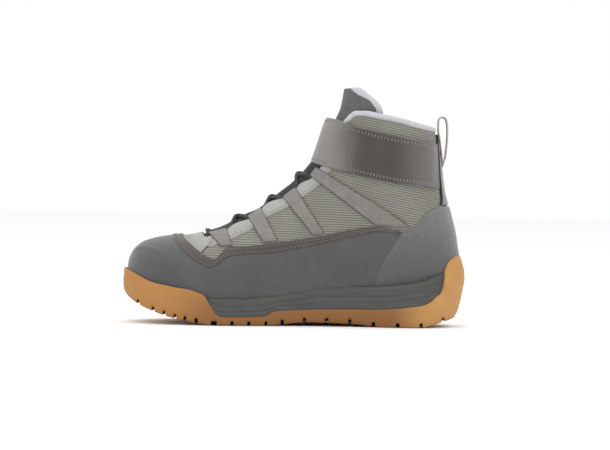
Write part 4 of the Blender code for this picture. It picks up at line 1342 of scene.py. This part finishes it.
class Look(Enum):
    """The finishes of the boot."""

    GUM = GumRubber("gum_rubber", (0.480, 0.250, 0.077), (0.395, 0.185, 0.050), 0.6)
    FOAM = Foam("midsole_foam", (0.080, 0.081, 0.077), (0.062, 0.063, 0.060), 0.75)
    MESH = RibbedMesh("mesh_cloth", (0.290, 0.288, 0.245), (0.250, 0.247, 0.212), 0.8)
    LINING = PlainWeave("lining_cloth", (0.20, 0.20, 0.195), (0.15, 0.15, 0.15), 0.9)
    VAMP = PlainWeave("vamp_cloth", (0.318, 0.322, 0.293), (0.276, 0.278, 0.253), 0.85)
    FACING = Suede("throat_facing", (0.350, 0.354, 0.325), (0.300, 0.302, 0.280), 0.85)
    MICROFIBRE = Suede("microfibre", (0.066, 0.065, 0.067), (0.089, 0.088, 0.090), 0.72)
    # The counter's second colour is the painted light on its top.
    COUNTER = CounterSuede("counter_microfibre", (0.088, 0.088, 0.091), (0.155, 0.153, 0.154),
                           0.74)
    COUNTER_EDGE = Finish("counter_edge", (0.135, 0.135, 0.125), (0.11, 0.11, 0.10), 0.7)
    TRIM = Suede("trim_leather", (0.050, 0.042, 0.039), (0.071, 0.060, 0.055), 0.78)
    BAND_THREAD = Finish("band_thread", (0.150, 0.118, 0.108), (0.20, 0.165, 0.15), 0.7)
    STRAP = StrapNubuck("strap_nubuck", (0.043, 0.038, 0.035), (0.061, 0.055, 0.050), 0.8)
    WEBBING = Webbing("webbing", (0.315, 0.288, 0.272), (0.260, 0.238, 0.225), 0.85)
    TAPE = Webbing("tape_webbing", (0.620, 0.560, 0.525), (0.54, 0.485, 0.45), 0.85)
    BINDING = PlainWeave("binding_cloth", (0.52, 0.525, 0.555), (0.46, 0.465, 0.49), 0.9, 0.0008)
    TONGUE = Leather("tongue_leather", (0.105, 0.099, 0.095), (0.135, 0.128, 0.122), 0.5)
    CORD = BraidedCord("lace_cord", (0.055, 0.055, 0.060), (0.018, 0.018, 0.020), 0.8)
    INSOLE = PlainWeave("insole_cloth", (0.16, 0.16, 0.155), (0.12, 0.12, 0.12), 0.9, 0.0009)
    BACK = Suede("back_tape", (0.180, 0.169, 0.165), (0.216, 0.203, 0.199), 0.8)
    EDGE = PlainWeave("throat_roll", (0.25, 0.245, 0.275), (0.20, 0.195, 0.215), 0.85)
    THREAD = Finish("pale_thread", (0.26, 0.245, 0.22), (0.21, 0.20, 0.18), 0.7)
    FACING_THREAD = Finish("facing_thread", (0.150, 0.146, 0.136), (0.19, 0.185, 0.17), 0.7)
    # Dark thread for the vamp seam, and the painted shadow along the loops' edges.
    DARK_THREAD_AND_SHADOW = Finish("dark_thread_and_shadow", (0.06, 0.055, 0.05), (0.09, 0.08, 0.07), 0.7)
    PIPING = Finish("black_piping", (0.012, 0.012, 0.013), (0.02, 0.02, 0.02), 0.6)


def dress(piece: Piece, *looks: Look, slot: str = "") -> Piece:
    """Put finishes on a piece."""
    for look in looks:
        piece.data.materials.append(look.value.material())
    return piece


@dataclass
class SurfacePath:
    """A line on the form, as stations and angles.

    Attributes:
        form: The form that carries it.
        stations: Its stations.
        angles: Its angles.
    """

    form: BootForm
    stations: Array
    angles: Array

    @classmethod
    def drawn(cls, form: BootForm, line: Array, side: int) -> "SurfacePath":
        """A path under a line of the side view; places off the boot's outline are dropped."""
        station, angle, residual = form.find(line, side)
        keep = residual < 0.0002
        return cls(form, station[keep], angle[keep])

    @classmethod
    def around(cls, form: BootForm, line: Array) -> "SurfacePath":
        """A path from a line's rear end on the inner side over its front to the outer side."""
        one = cls.drawn(form, line, INNER)
        if one.angles[0] > one.angles[-1]:
            one = cls(form, one.stations[::-1], one.angles[::-1])
        return cls(form, np.concatenate((one.stations, one.stations[::-1])),
                   np.concatenate((one.angles, TURN - one.angles[::-1])))

    def resampled(self, pitch: float) -> "SurfacePath":
        """The path with its places evenly spaced in metres."""
        run = run_along(self.form.points(self.stations, self.angles))
        at = np.linspace(0, run[-1], max(2, int(round(run[-1] / pitch))))
        return SurfacePath(self.form, np.interp(at, run, self.stations),
                           np.interp(at, run, self.angles))

    def at(self, offset: Any) -> tuple[Array, Array, Array]:
        """Points off the form, the directions along the path and the form's own normals."""
        points = self.form.points(self.stations, self.angles, offset)
        along = unit(np.gradient(points, axis=0))
        return points, along, self.form.normals(self.stations, self.angles)


@dataclass
class StitchRow:
    """A row of sewn stitches.

    Attributes:
        path: The line that it follows.
        offset: How far its middle stands off the form.
        pitch: From one stitch to the next, or nothing where the path has a place for each.
        length: Length of a stitch.
        thread: Width of the thread.
        turn: Angle of each stitch to the line.
    """

    path: SurfacePath
    offset: Any
    pitch: float = 0.0030
    length: float = 0.0023
    thread: float = 0.0006
    turn: float = 0.0

    def frames(self) -> Array:
        """For each stitch its long, cross and upward half axes, and its middle."""
        path = self.path.resampled(self.pitch) if self.pitch else self.path
        points, along, up = path.at(self.offset)
        side = unit(np.cross(up, along))
        run = np.cross(side, up)
        first = math.cos(self.turn) * run + math.sin(self.turn) * side
        second = np.cross(up, first)
        return np.stack((first * self.length / 2, second * self.thread / 2,
                         up * self.thread / 2, points), axis=1)


def stitched(name: str, rows: Iterable[StitchRow], look: Look) -> Piece:
    """One piece of all the stitches in some rows."""
    frames = np.concatenate([row.frames() for row in rows])
    work = bmesh.new()
    bmesh.ops.create_uvsphere(work, u_segments=6, v_segments=4, radius=1.0,
                              matrix=Matrix.Rotation(math.pi / 2, 4, "Y"))
    template = mesh_of("stitch", work)
    work = bmesh.new()
    work.from_mesh(template)
    bpy.data.meshes.remove(template)
    shape = places_of(work)
    while len(work.verts) < len(shape) * len(frames):
        bmesh.ops.duplicate(work, geom=work.verts[:] + work.edges[:] + work.faces[:])
    work.verts.ensure_lookup_table()
    spare = work.verts[len(shape) * len(frames):]
    bmesh.ops.delete(work, geom=spare, context="VERTS")
    move_vertices(work, (np.einsum("pk,nkc->npc", shape, frames[:, :3])
                         + frames[:, None, 3]).reshape(-1, 3))
    return dress(finished(name, work), look)


def tube_along(name: str, points: Array, normals: Array, radius: float, sides: int = 12,
               flat: float = 1.0) -> Piece:
    """A cord through points, with a UV map along and round it and rounded ends.

    Args:
        name: The piece's name.
        points: Places along its middle.
        normals: Directions away from what it lies on.
        radius: Half its width.
        sides: Points round it.
        flat: How high it is for its width.

    Returns:
        The piece.
    """
    run = unit(np.gradient(points, axis=0))
    side = unit(np.cross(run, normals))
    up = np.cross(side, run)
    turns = np.linspace(0, TURN, sides + 1)
    ring = (np.cos(turns)[None, :, None] * side[:, None, :]
            + flat * np.sin(turns)[None, :, None] * up[:, None, :])
    swell = np.ones(len(points))
    swell[0] = swell[-1] = 0.55
    places = points[:, None, :] + radius * swell[:, None, None] * ring
    work = wrapped_grid(places, (float(run_along(points)[-1]), TURN * radius))
    close_holes(work)
    bmesh.ops.recalc_face_normals(work, faces=work.faces)
    return finished(name, work)


def smooth_curve(points: Array, count: int) -> Array:
    """A smooth curve through points in space, evenly spaced."""
    run = run_along(points)
    fine = np.linspace(0, run[-1], 8 * count)
    dense = np.column_stack([hermite(run, values, fine, False) for values in points.T])
    return places_along(dense, np.linspace(0, 1, count))


def scalloped(form: BootForm, rise: float = 0.0026) -> Array:
    """The throat's edge, which arches a little between the loops' tips."""
    line = form.smooth_line(THROAT_LINE, 6)
    tips = sorted((row[k][0] * form.length for row in LOOPS for k in (0, 1)), reverse=True)
    arch = np.zeros(len(line))
    for start, end in zip(tips[1::2], tips[2::2]):
        share = np.clip((start - line[:, 0]) / (start - end), 0, 1)
        arch = np.maximum(arch, np.sin(math.pi * share ** 0.8))
    return shifted(line, -rise * arch)


@dataclass
class Upper:
    """The cloth wall, its vamp and facings, and the leather round the foot.

    Attributes:
        form: The form that it follows.
        sole: The sole, for the line of its bed.
        wall: Thickness of the cloth wall.
        facing_width: Width of the facings along the throat.
        rand: Thickness of the rand and toe cap.
        counter: Thickness of the heel counter.
        trim: Thickness of the stitched band.
    """

    form: BootForm
    sole: Sole
    wall: float = 0.0025
    facing_width: float = 0.0084
    rand: float = 0.0012
    counter: float = 0.0014
    trim: float = 0.0018

    def bed(self) -> Array:
        """The line just over the bed at which the upper's layers end."""
        return self.sole.bed_line(30, CUP_ROOM)

    def cloth_wall(self) -> Piece:
        """The ribbed wall with its lining, open at the collar, the throat and underneath."""
        form = self.form
        throat = form.smooth_line(THROAT_LINE, 4)
        collar = shifted(form.smooth_line(COLLAR_LOW[1:], 4), -0.0012)
        front = form.side_view(((0.80, 0.60),))
        end = form.side_view(((1.08, 0.60),))
        rear = np.array(((-0.1 * form.length, collar[-1, 1]),))
        outline = np.vstack((self.bed()[::-1], rear, collar[::-1], throat[::-1], front, end))
        piece = Sheet("cloth_upper", outline, base=-self.wall, thickness=self.wall, edge=0.0010,
                      cells=(170, 190)).build(form)
        return dress(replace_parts(piece, "upper"), Look.MESH, Look.LINING, slot="mesh_cloth")

    def vamp(self) -> Piece:
        """The smooth cloth in front of the ribbed wall."""
        rows = ((0.790, 0.520), (0.776, 0.470), (0.762, 0.429), *VAMP_SEAM, (0.780, 0.325),
                (0.815, 0.372), (0.843, 0.425), (0.852, 0.520))
        piece = Sheet("vamp_cloth", self.form.side_view(rows), base=0.0001, thickness=0.0006,
                      edge=0.0004, stations=(3.8, 8.0), angles=(0.2 * math.pi, 1.8 * math.pi),
                      cells=(60, 120)).build(self.form)
        return dress(piece, Look.VAMP, Look.VAMP)

    def facings(self) -> Piece:
        """The smooth facing along both edges of the throat and round its front."""
        line = self.form.smooth_line(THROAT_LINE, 6)
        outline = np.vstack((scalloped(self.form), shifted(line, self.facing_width)[::-1]))
        piece = Sheet("throat_facings", outline, base=0.0002, thickness=0.0006, edge=0.0005,
                      stations=(5.0, 18.6), angles=(0.3 * math.pi, 1.7 * math.pi),
                      cells=(230, 130)).build(self.form)
        return dress(piece, Look.FACING, Look.FACING)

    def toe_rand(self) -> Piece:
        """Rand and toe cap in one, from the sole up under the stitched band."""
        form = self.form
        low = form.smooth_line(TRIM_LOW, 4)
        middle = shifted(low, -0.0015)
        rear = form.smooth_line(COUNTER_FRONT[1:], 4) - (0.0015, 0)
        rear = rear[rear[:, 1] < middle[-1, 1]]
        bed = self.bed()
        bed = bed[bed[:, 0] > rear[-1, 0] + 0.002]
        tip = form.side_view(((1.08, 0.52),))
        outline = np.vstack((rear, bed, tip, middle))
        crest = form.smooth_line(((0.975, 0.345), (0.940, 0.372), (0.905, 0.360),
                                  (0.880, 0.330)), 5)

        def pinch(depth: Array, bare: Array) -> Array:
            """The faint raised crease that runs round the toe cap."""
            gap, along = distance_to_line(bare[:, (0, 2)], crest)
            return 0.0008 * np.exp(-(gap / 0.0017) ** 2) * ease(along * 4) * ease((1 - along) * 4)

        piece = Sheet("rand_and_toe_cap", outline, base=0.0002, thickness=self.rand,
                      edge=0.0006, stations=(0, 14.5), cells=(190, 200),
                      relief=pinch).build(form)
        return dress(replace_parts(piece, "rand"), Look.MICROFIBRE, Look.MICROFIBRE,
                     slot="microfibre")

    def band(self) -> Piece:
        """The stitched band over the rand's upper edge and the toe."""
        def sewn(depth: Array, bare: Array) -> Array:
            """Shallow furrows that the thread pulls in near both edges."""
            return -0.00035 * np.exp(-((depth - 0.0022) / 0.0007) ** 2)

        piece = Sheet("rand_band", self.form.between(TRIM_TOP, TRIM_LOW), base=0.0003,
                      thickness=self.trim, edge=0.0009, stations=(3.9, 16.4),
                      angles=(0.15 * math.pi, 1.85 * math.pi), cells=(260, 200),
                      relief=sewn).build(self.form)
        return dress(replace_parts(piece, "rand_trim"), Look.TRIM, Look.TRIM, slot="trim_leather")

    def heel(self) -> Piece:
        """The heel counter."""
        form = self.form
        front, top = form.smooth_line(COUNTER_FRONT, 4), form.smooth_line(COUNTER_TOP, 4)[1:]
        bed = self.bed()
        bed = bed[bed[:, 0] < front[-1, 0] - 0.004]
        corner = (-BEYOND * form.length, top[-1, 1])
        outline = np.vstack((front, bed[::-1], corner, top[::-1]))
        piece = Sheet("counter_shell", outline, base=0.0003, thickness=self.counter + 0.0003,
                      edge=0.0008, stations=(10.5, 17.4),
                      angles=(-0.75 * math.pi, 0.75 * math.pi), cells=(130, 190),
                      crown=0.0003).build(form)
        return dress(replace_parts(piece, "heel_counter"), Look.COUNTER, Look.COUNTER,
                     slot="microfibre")

    def stitches(self) -> list[Piece]:
        """The band's double rows and the facings' dashed rows."""
        form = self.form
        high, low = form.smooth_line(TRIM_TOP, 6), form.smooth_line(TRIM_LOW, 6)
        band_rows = []
        for line, inset in ((high, 0.0024), (low, -0.0024)):
            path = SurfacePath.around(form, shifted(line, inset)[2:-2])
            band_rows.append(StitchRow(path, self.trim + 0.0001, pitch=0.0026, length=0.0024,
                                       thread=0.0008, turn=math.radians(70)))
        throat = form.smooth_line(THROAT_LINE, 6)[8:]
        facing_rows = []
        seams = []
        vamp, counter = form.smooth_line(VAMP_SEAM, 6), form.smooth_line(COUNTER_FRONT, 6)
        for side, word in SIDES:
            for inset in (0.0058, 0.0075):
                path = SurfacePath.drawn(form, shifted(throat, inset), side)
                facing_rows.append(StitchRow(path, 0.0008, pitch=0.0026, length=0.0021,
                                             thread=0.0006))
            for name, line, offset, radius, look in (
                    ("vamp_seam", vamp, 0.0006, 0.0004, Look.DARK_THREAD_AND_SHADOW),
                    ("counter_edge", counter[3:-10], 0.0014, 0.00045, Look.COUNTER_EDGE)):
                path = SurfacePath.drawn(form, line, side).resampled(0.001)
                points, _, normals = path.at(offset)
                seams.append(dress(tube_along(f"{name}_{word}", points, normals, radius, 8),
                                   look))
        return [stitched("band_stitches", band_rows, Look.BAND_THREAD),
                stitched("facing_stitches", facing_rows, Look.FACING_THREAD), *seams]

    def build(self) -> list[Piece]:
        """All pieces of the upper."""
        return [self.cloth_wall(), self.vamp(), self.facings(), self.toe_rand(), self.band(),
                self.heel(), *self.stitches()]


@dataclass
class Swell:
    """How the padded tongue swells out between the edges of the throat.

    Attributes:
        form: The form.
        seat: How far the tongue's face stands off the form beside the throat.
        height: How far it swells.
        reach: Depth inside the throat's edge at which it is full.
        pinch: How far the strap's upper edge presses it in.
    """

    form: BootForm
    seat: float = -0.0028
    height: float = 0.0058
    reach: float = 0.0075
    pinch: float = 0.0026

    def rise(self, bare: Array) -> Array:
        """The swelling at plain places of the form."""
        throat = self.form.smooth_line(THROAT_LINE, 3)
        above = self.form.side_view(((0.42, 1.30), (0.90, 0.70)))
        depth, _ = depth_inside(bare[..., (0, 2)].reshape(-1, 2), np.vstack((throat, above)))
        up = bare[..., 2] / self.form.back_height
        full = self.height * (1 - 0.55 * ease((up - 0.78) / 0.12))
        pinch = self.pinch * np.exp(-((up - 1.02) / 0.05) ** 2)
        return full * ease(depth / self.reach).reshape(bare.shape[:-1]) - pinch

    def level(self, station: Array, angle: Array) -> Array:
        """How far the tongue's face stands off the form."""
        return self.seat + self.rise(self.form.bare(station, angle))


@dataclass
class Collar:
    """What stands round the ankle: the binding, the tongue, the strap and the tapes at the back.

    Attributes:
        form: The form that they follow.
        tongue: Thickness of the tongue.
        face: Thickness of the leather on its front.
        strap: Thickness of the ankle strap.
        strap_base: How far the strap's underside stands off the form.
        tape: Thickness of the pull loop's tape.
        loop_width: Width of the pull loop.
    """

    form: BootForm
    tongue: float = 0.0047
    face: float = 0.0008
    strap: float = 0.0025
    strap_base: float = 0.0009
    tape: float = 0.0011
    loop_width: float = 0.016

    def binding(self) -> Piece:
        """The soft rolled binding on the collar's edge."""
        piece = Sheet("collar_roll", self.form.between(COLLAR_TOP, COLLAR_LOW), base=-0.0010,
                      thickness=0.0042, edge=0.0024, stations=(16.8, 20.6),
                      angles=(-0.85 * math.pi, 0.85 * math.pi), cells=(90, 230),
                      rolled=True).build(self.form)
        return dress(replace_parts(piece, "collar_binding"), Look.BINDING, Look.BINDING,
                     slot="binding_cloth")

    def tongue_layer(self, name: str, rows: Rows, sunk: float, **sizes: Any) -> Piece:
        """A layer of the tongue, which swells out between the edges of the throat.

        Args:
            name: The piece's name.
            rows: Its edge in the side view, up to the top.
            sunk: How far its base lies under the tongue's face.
            sizes: Its thickness, edge, cells and other fields of a sheet.

        Returns:
            The piece.
        """
        form = self.form
        swell = Swell(form)
        outline = np.vstack((form.smooth_line(rows, 4),
                             form.side_view(((0.50, 1.187), (0.81, 0.60)))))
        return Sheet(name, outline, swell.seat - sunk, stations=(5.5, 21.0),
                     angles=(0.28 * math.pi, 1.72 * math.pi),
                     relief=lambda depth, bare: swell.rise(bare), **sizes).build(form)

    def padded_tongue(self) -> Piece:
        """The tongue's padded body, with rolled edges."""
        piece = self.tongue_layer("tongue_pad", TONGUE_EDGE, self.face + self.tongue / 2,
                                  thickness=self.tongue, edge=0.0026, cells=(200, 130),
                                  rolled=True)
        dress(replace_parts(piece, "tongue"), Look.BINDING, Look.BINDING, slot="tongue_leather")
        return piece

    def tongue_face(self) -> Piece:
        """The leather face on the tongue's front."""
        piece = self.tongue_layer("tongue_face", TONGUE_FACE, self.face, thickness=self.face,
                                  edge=0.0006, cells=(190, 120))
        return dress(piece, Look.TONGUE, Look.TONGUE)

    def strap_lift(self, bare: Array) -> Array:
        """How far the strap stands away from the tongue at the front."""
        ahead = ease((bare[..., 0] / self.form.length - 0.33) / 0.06)
        return 0.0020 * ahead * ease((bare[..., 2] / self.form.back_height - 0.84) / 0.20)

    def ankle_strap(self) -> Piece:
        """The wide strap round the shaft and over the tongue."""
        rear = STRAP_TOP[-1][0] * self.form.length

        def pressed(depth: Array, bare: Array) -> Array:
            """Thin where it is sewn under the back tape, with a furrow along its stitches."""
            end = -0.0018 * ease(1 - (bare[..., 0] - rear) / 0.007)
            return end + self.strap_lift(bare) - 0.0004 * np.exp(-((depth - 0.0034) / 0.0016) ** 2)

        piece = Sheet("strap_band", self.form.between(STRAP_TOP, STRAP_LOW),
                      base=self.strap_base, thickness=self.strap, edge=0.0011,
                      stations=(12.0, 19.6), angles=(0.02, TURN - 0.02),
                      cells=(150, 230), relief=pressed).build(self.form)
        return dress(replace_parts(piece, "ankle_strap"), Look.STRAP, Look.STRAP,
                     slot="strap_nubuck")

    def strap_stitches(self) -> Piece:
        """Short upright stitches along both edges of the strap and its double upright seam."""
        form = self.form
        rows = []
        for line, inset in ((STRAP_TOP, 0.0034), (STRAP_LOW, -0.0034)):
            edge = shifted(form.smooth_line(line, 8), inset)
            edge = edge[edge[:, 0] > (STRAP_TOP[-1][0] + 0.024) * form.length]
            path = SurfacePath.around(form, edge).resampled(0.0029)
            bare = form.bare(path.stations, path.angles)
            offset = self.strap_base + self.strap - 0.0003 + self.strap_lift(bare)
            rows.append(StitchRow(path, offset, pitch=0.0, length=0.0030, thread=0.0009,
                                  turn=math.radians(72)))
        seam = np.array(((0.3269, 0.955), (0.335, 0.880), (0.343, 0.800)))
        for side in (INNER, OUTER):
            for aside in (-0.0015, 0.0015):
                path = SurfacePath.drawn(form, shifted(form.smooth_line(seam, 8), aside), side)
                rows.append(StitchRow(path, self.strap_base + self.strap, pitch=0.0022,
                                      length=0.0017, thread=0.0005))
        return stitched("strap_stitches", rows, Look.THREAD)

    def back_tape(self) -> Piece:
        """The tape down the back of the shaft."""
        form = self.form
        front = form.smooth_line(STRIP_FRONT, 4)
        behind = -0.02 * form.length
        outline = np.vstack((front, (behind, front[-1, 1]), (behind, front[0, 1])))
        piece = Sheet("back_tape", outline, base=0.0002, thickness=0.0017, edge=0.0006,
                      stations=(15.8, 19.9), angles=(-0.4 * math.pi, 0.4 * math.pi),
                      cells=(100, 90)).build(form)
        return dress(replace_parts(piece, "back_strip"), Look.BACK, Look.BACK, slot="webbing")

    def pipings(self) -> list[Piece]:
        """The black cords along both edges of the back tape and the roll along the throat."""
        form = self.form
        pieces = []
        front = shifted(form.smooth_line(STRIP_FRONT, 6), 0.0004)
        throat = scalloped(form)[5:]
        for side, word in SIDES:
            for name, line, offset, radius, look in (
                    ("back_piping", front, 0.0012, 0.0011, Look.PIPING),
                    ("throat_roll", throat, 0.0000, 0.0009, Look.EDGE)):
                path = SurfacePath.drawn(form, line, side).resampled(0.0012)
                points, _, normals = path.at(offset)
                piece = tube_along(f"{name}_{word}", points, normals, radius, 10)
                pieces.append(dress(piece, look))
        return pieces

    def pull_loop(self) -> Piece:
        """The tape loop that stands behind the collar."""
        form = self.form
        route = form.smooth_line(PULL_ROUTE, 6)
        route = np.vstack((route, route[:1]))
        middle = float(form.sections(np.array(18.0))["middle"]) - form.plan_centre
        across = np.linspace(-0.5, 0.5, 9)
        places = np.empty((len(route), len(across), 3))
        places[..., 0] = route[:, None, 0] - form.length / 2
        places[..., 1] = middle + across[None, :] * self.loop_width
        places[..., 2] = route[:, None, 1]
        work = wrapped_grid(places, (float(run_along(route)[-1]), self.loop_width))
        bmesh.ops.recalc_face_normals(work, faces=work.faces)
        piece = walled(finished("pull_tape", work), self.tape, 0.0004)
        return dress(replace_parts(piece, "pull_loop"), Look.TAPE, slot="webbing")

    def build(self) -> list[Piece]:
        """All pieces round the ankle."""
        return [self.binding(), self.padded_tongue(), self.tongue_face(), self.ankle_strap(),
                self.strap_stitches(), self.back_tape(), self.pull_loop(), *self.pipings()]


@dataclass
class Lacing:
    """The webbing loops and the lace that runs through them.

    Attributes:
        form: The form that carries them.
        webbing: Thickness of the loops.
        lace: Width of the lace.
        flat: How high the lace is for its width.
        base: How far the loops' underside stands off the form.
        lace_level: How far the lace's middle stands off the form inside a loop.
    """

    form: BootForm
    webbing: float = 0.0011
    lace: float = 0.0042
    flat: float = 0.52
    base: float = 0.0010
    lace_level: float = -0.0002

    def edges(self, number: int) -> tuple[Array, Array]:
        """The front and rear edge of a loop in the side view, from the trim up to the tip."""
        front_top, rear_top, rear_low, front_low = self.form.side_view(LOOPS[number])
        front, rear = [front_low, front_top], [rear_low, rear_top]
        if number == len(LOOPS) - 1:
            front.insert(1, self.form.side_view(LOOP_LOW_BEND)[0])
            for bend in self.form.side_view(LOOP_TOP_BENDS[::-1]):
                rear.insert(-1, bend)
        return np.array(front), np.array(rear)

    def tip(self, number: int, side: int) -> Array:
        """Station and angle of the front and of the rear end of a loop's fold."""
        corners = np.array([line[-1] for line in self.edges(number)])
        station, angle, _ = self.form.find(corners, side)
        return np.stack((station, angle), axis=1)

    def loop(self, number: int, side: int) -> Piece:
        """One webbing loop, folded over the lace and back under itself.

        Args:
            number: Which pair it is of, from the vamp up.
            side: INNER or OUTER.

        Returns:
            The piece.
        """
        front, rear = self.edges(number)
        shares, wide = np.linspace(0, 1, 40), np.linspace(0, 1, 15)
        one, other = places_along(front, shares), places_along(rear, shares)
        flat = one[:, None, :] + (other - one)[:, None, :] * wide[None, :, None]
        station, angle, _ = self.form.find(flat.reshape(-1, 2), side)
        radius = (self.lace * self.flat + self.webbing) / 2
        top = self.lace_level + radius
        low = self.base + self.webbing / 2
        height = low + ease((shares - 0.75) / 0.25) * (top - low)
        height = height - 0.0010 * ease((0.06 - shares) / 0.06)
        offset = np.repeat(height, len(wide))
        places = self.form.points(station, angle, offset).reshape(len(shares), len(wide), 3)
        normals = self.form.normals(station, angle).reshape(places.shape)[-1]
        run = places[-1] - places[-4]
        run = unit(run - (run * normals).sum(axis=1)[:, None] * normals)
        middle = places[-1] - radius * normals
        fold = [middle + radius * (math.cos(turn) * normals + math.sin(turn) * run)
                for turn in np.radians(np.arange(15, 181, 15))]
        back = [fold[-1] - run * step - normals * drop
                for step, drop in ((0.0015, 0.0006), (0.0030, 0.0014), (0.0050, 0.0017))]
        places = np.concatenate((places, np.array(fold), np.array(back)))
        length = float(run_along(places[:, 7])[-1])
        width = float(np.linalg.norm(places[20, 0] - places[20, -1]))
        work = wrapped_grid(places, (length, width))
        word = dict(SIDES)[side]
        piece = walled(finished(f"webbing_{word}_{number + 1}", work), self.webbing, 0.0003)
        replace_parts(piece, f"lace_loop_{word}_{number + 1}")
        # Dark cords along each loop's front and rear edge are painted shadow in the gaps beside the
        # webbing.
        around = np.repeat(normals[None, :, :], len(places), axis=0)
        for column, end in ((0, "front"), (-1, "rear")):
            line = places[:len(shares), column]
            painted_shadow_cord = tube_along(f"loop_edge_{word}_{number + 1}_{end}", line,
                                   around[:len(shares), column], self.webbing * 0.42, 8)
            dress(painted_shadow_cord, Look.DARK_THREAD_AND_SHADOW)
        return dress(piece, Look.WEBBING, slot="webbing")

    def strand(self, side: int, over: bool) -> tuple[Array, Array]:
        """One half of the lace, from the middle of the lowest bar to under the strap.

        Args:
            side: The side of the lowest loop that it goes through.
            over: Whether it lies over the other half where they first cross.

        Returns:
            Places along its middle, and the directions away from the tongue there.
        """
        swell = Swell(self.form)
        half = self.lace * self.flat / 2
        spots, levels = [], []

        def lay(spot: Array, hump: float = 0.0, level: float | None = None) -> None:
            """Take the lace through a station and angle, on the tongue or at a level."""
            spots.append(spot)
            seat = float(swell.level(np.array(spot[0]), np.array(spot[1]))) + 0.85 * half
            levels.append(seat + hump if level is None else level)

        for number in range(len(LOOPS)):
            ends = self.tip(number, side)
            if number == 0:
                lay(np.array((ends[0, 0] - 0.1, math.pi)))
                lay(ends[0] * 0.5 + np.array((ends[0, 0] - 0.1, math.pi)) * 0.5)
            for spot in (ends[0], ends.mean(axis=0), ends[1]):
                lay(spot, level=self.lace_level)
            if number < len(LOOPS) - 1:
                onward = self.tip(number + 1, -side)
                for share in (0.24, 0.37, 0.5, 0.63, 0.76):
                    hump = 1.9 * half * math.exp(-((share - 0.5) / 0.14) ** 2)
                    lay(ends[1] * (1 - share) + onward[0] * share, hump if over else 0.0)
                over = not over
                side = -side
        lay(ends[1] + (ends[1] - ends[0]) * 0.9, level=-0.0012)
        spots = np.array(spots)
        places = self.form.points(spots[:, 0], spots[:, 1], np.array(levels))
        return places, self.form.normals(spots[:, 0], spots[:, 1])

    def laces(self) -> list[Piece]:
        """The two halves of the lace."""
        pieces = []
        for side, word in SIDES:
            places, normals = self.strand(side, side == INNER)
            curve = smooth_curve(places, 300)
            nearest = kdtree.KDTree(len(places))
            for index, place in enumerate(places):
                nearest.insert(place, index)
            nearest.balance()
            ups = np.zeros_like(curve)
            for index, place in enumerate(curve):
                for _, found, gap in nearest.find_n(place, 3):
                    ups[index] += normals[found] / (gap + 0.001)
            piece = tube_along(f"lace_from_{word}", curve, ups, self.lace / 2, 14, self.flat)
            pieces.append(dress(piece, Look.CORD, slot="lace_cord"))
        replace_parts(pieces[0], "lace_bar_1", "lace_crossing_1", "lace_crossing_2",
                    "lace_crossing_3")
        return pieces

    def build(self) -> list[Piece]:
        """The loops and the lace."""
        loops = [self.loop(number, side) for number in range(len(LOOPS))
                 for side in (INNER, OUTER)]
        return loops + self.laces()


@dataclass
class Studio:
    """The pale floor, the soft light and the camera.

    Attributes:
        distance: From the camera to the boot's middle.
        aim: What it looks at.
        elevation: Its angle above the level, in degrees.
        roll: How far it is rolled, in degrees.
        view_width: Width of what it sees at the boot.
    """

    distance: float = 2.2
    aim: tuple[float, float, float] = (-0.0089, 0.0, 0.0905)
    elevation: float = 1.2
    roll: float = 0.98
    view_width: float = 0.559

    def floor(self) -> Piece:
        """A wide pale floor."""
        work = bmesh.new()
        bmesh.ops.create_grid(work, x_segments=2, y_segments=2, size=6.0)
        piece = placed("floor", mesh_of("floor", work))
        bench = Bench("pale_floor")
        piece.data.materials.append(bench.dress((0.96, 0.96, 0.96), 0.9, specular=0.1))
        return piece

    def lights(self) -> None:
        """A white sky, a broad key light from the upper left and a fill from the right."""
        world = bpy.data.worlds.new("studio")
        bpy.context.scene.world = world
        world.use_nodes = True
        sky = world.node_tree.nodes["Background"]
        sky.inputs["Color"].default_value = (1, 1, 1, 1)
        sky.inputs["Strength"].default_value = 1.0
        bpy.context.scene.view_settings.view_transform = "Standard"
        for name, place, size, power in (("key", (0.6, 1.2, 1.6), 1.0, 9.0),
                                         ("fill", (-1.3, 1.0, 0.9), 1.2, 3.0),
                                         ("top", (0.0, -0.3, 1.8), 1.2, 6.0)):
            data = bpy.data.lights.new(name, "AREA")
            data.size, data.energy = size, power
            lamp = placed(name, data)
            lamp.location = place
            aim = Vector(self.aim) - lamp.location
            lamp.rotation_euler = aim.to_track_quat("-Z", "Y").to_euler()

    def camera(self) -> None:
        """The camera, on the boot's inner side."""
        data = bpy.data.cameras.new("camera")
        data.sensor_width = 36.0
        data.lens = 36.0 * self.distance / self.view_width
        data.clip_start, data.clip_end = 0.1, 50.0
        lens = placed("camera", data)
        up = math.radians(self.elevation)
        lens.location = Vector(self.aim) + self.distance * Vector((0, math.cos(up), math.sin(up)))
        turn = (Vector(self.aim) - lens.location).to_track_quat("-Z", "Y").to_matrix().to_4x4()
        lens.rotation_euler = (turn @ Matrix.Rotation(math.radians(self.roll), 4, "Z")).to_euler()
        bpy.context.scene.camera = lens


def main() -> None:
    """Build and dress the boot, then set the studio round it."""
    logging.basicConfig(level=logging.INFO, format="%(name)s: %(message)s")
    form = BootForm()
    sole = Sole(form)
    pieces = [dress(sole.outsole(), Look.GUM, slot="gum_rubber"),
              dress(sole.midsole(), Look.FOAM, slot="midsole_foam"),
              dress(sole.footbed(), Look.INSOLE, slot="insole_cloth")]
    pieces += Upper(form, sole).build()
    pieces += Collar(form).build()
    pieces += Lacing(form).build()
    for piece in pieces:
        LOG.info("%s: %d faces", piece.name, len(piece.data.polygons))
    studio = Studio()
    studio.floor()
    studio.lights()
    studio.camera()


if __name__ == "__main__":
    main()
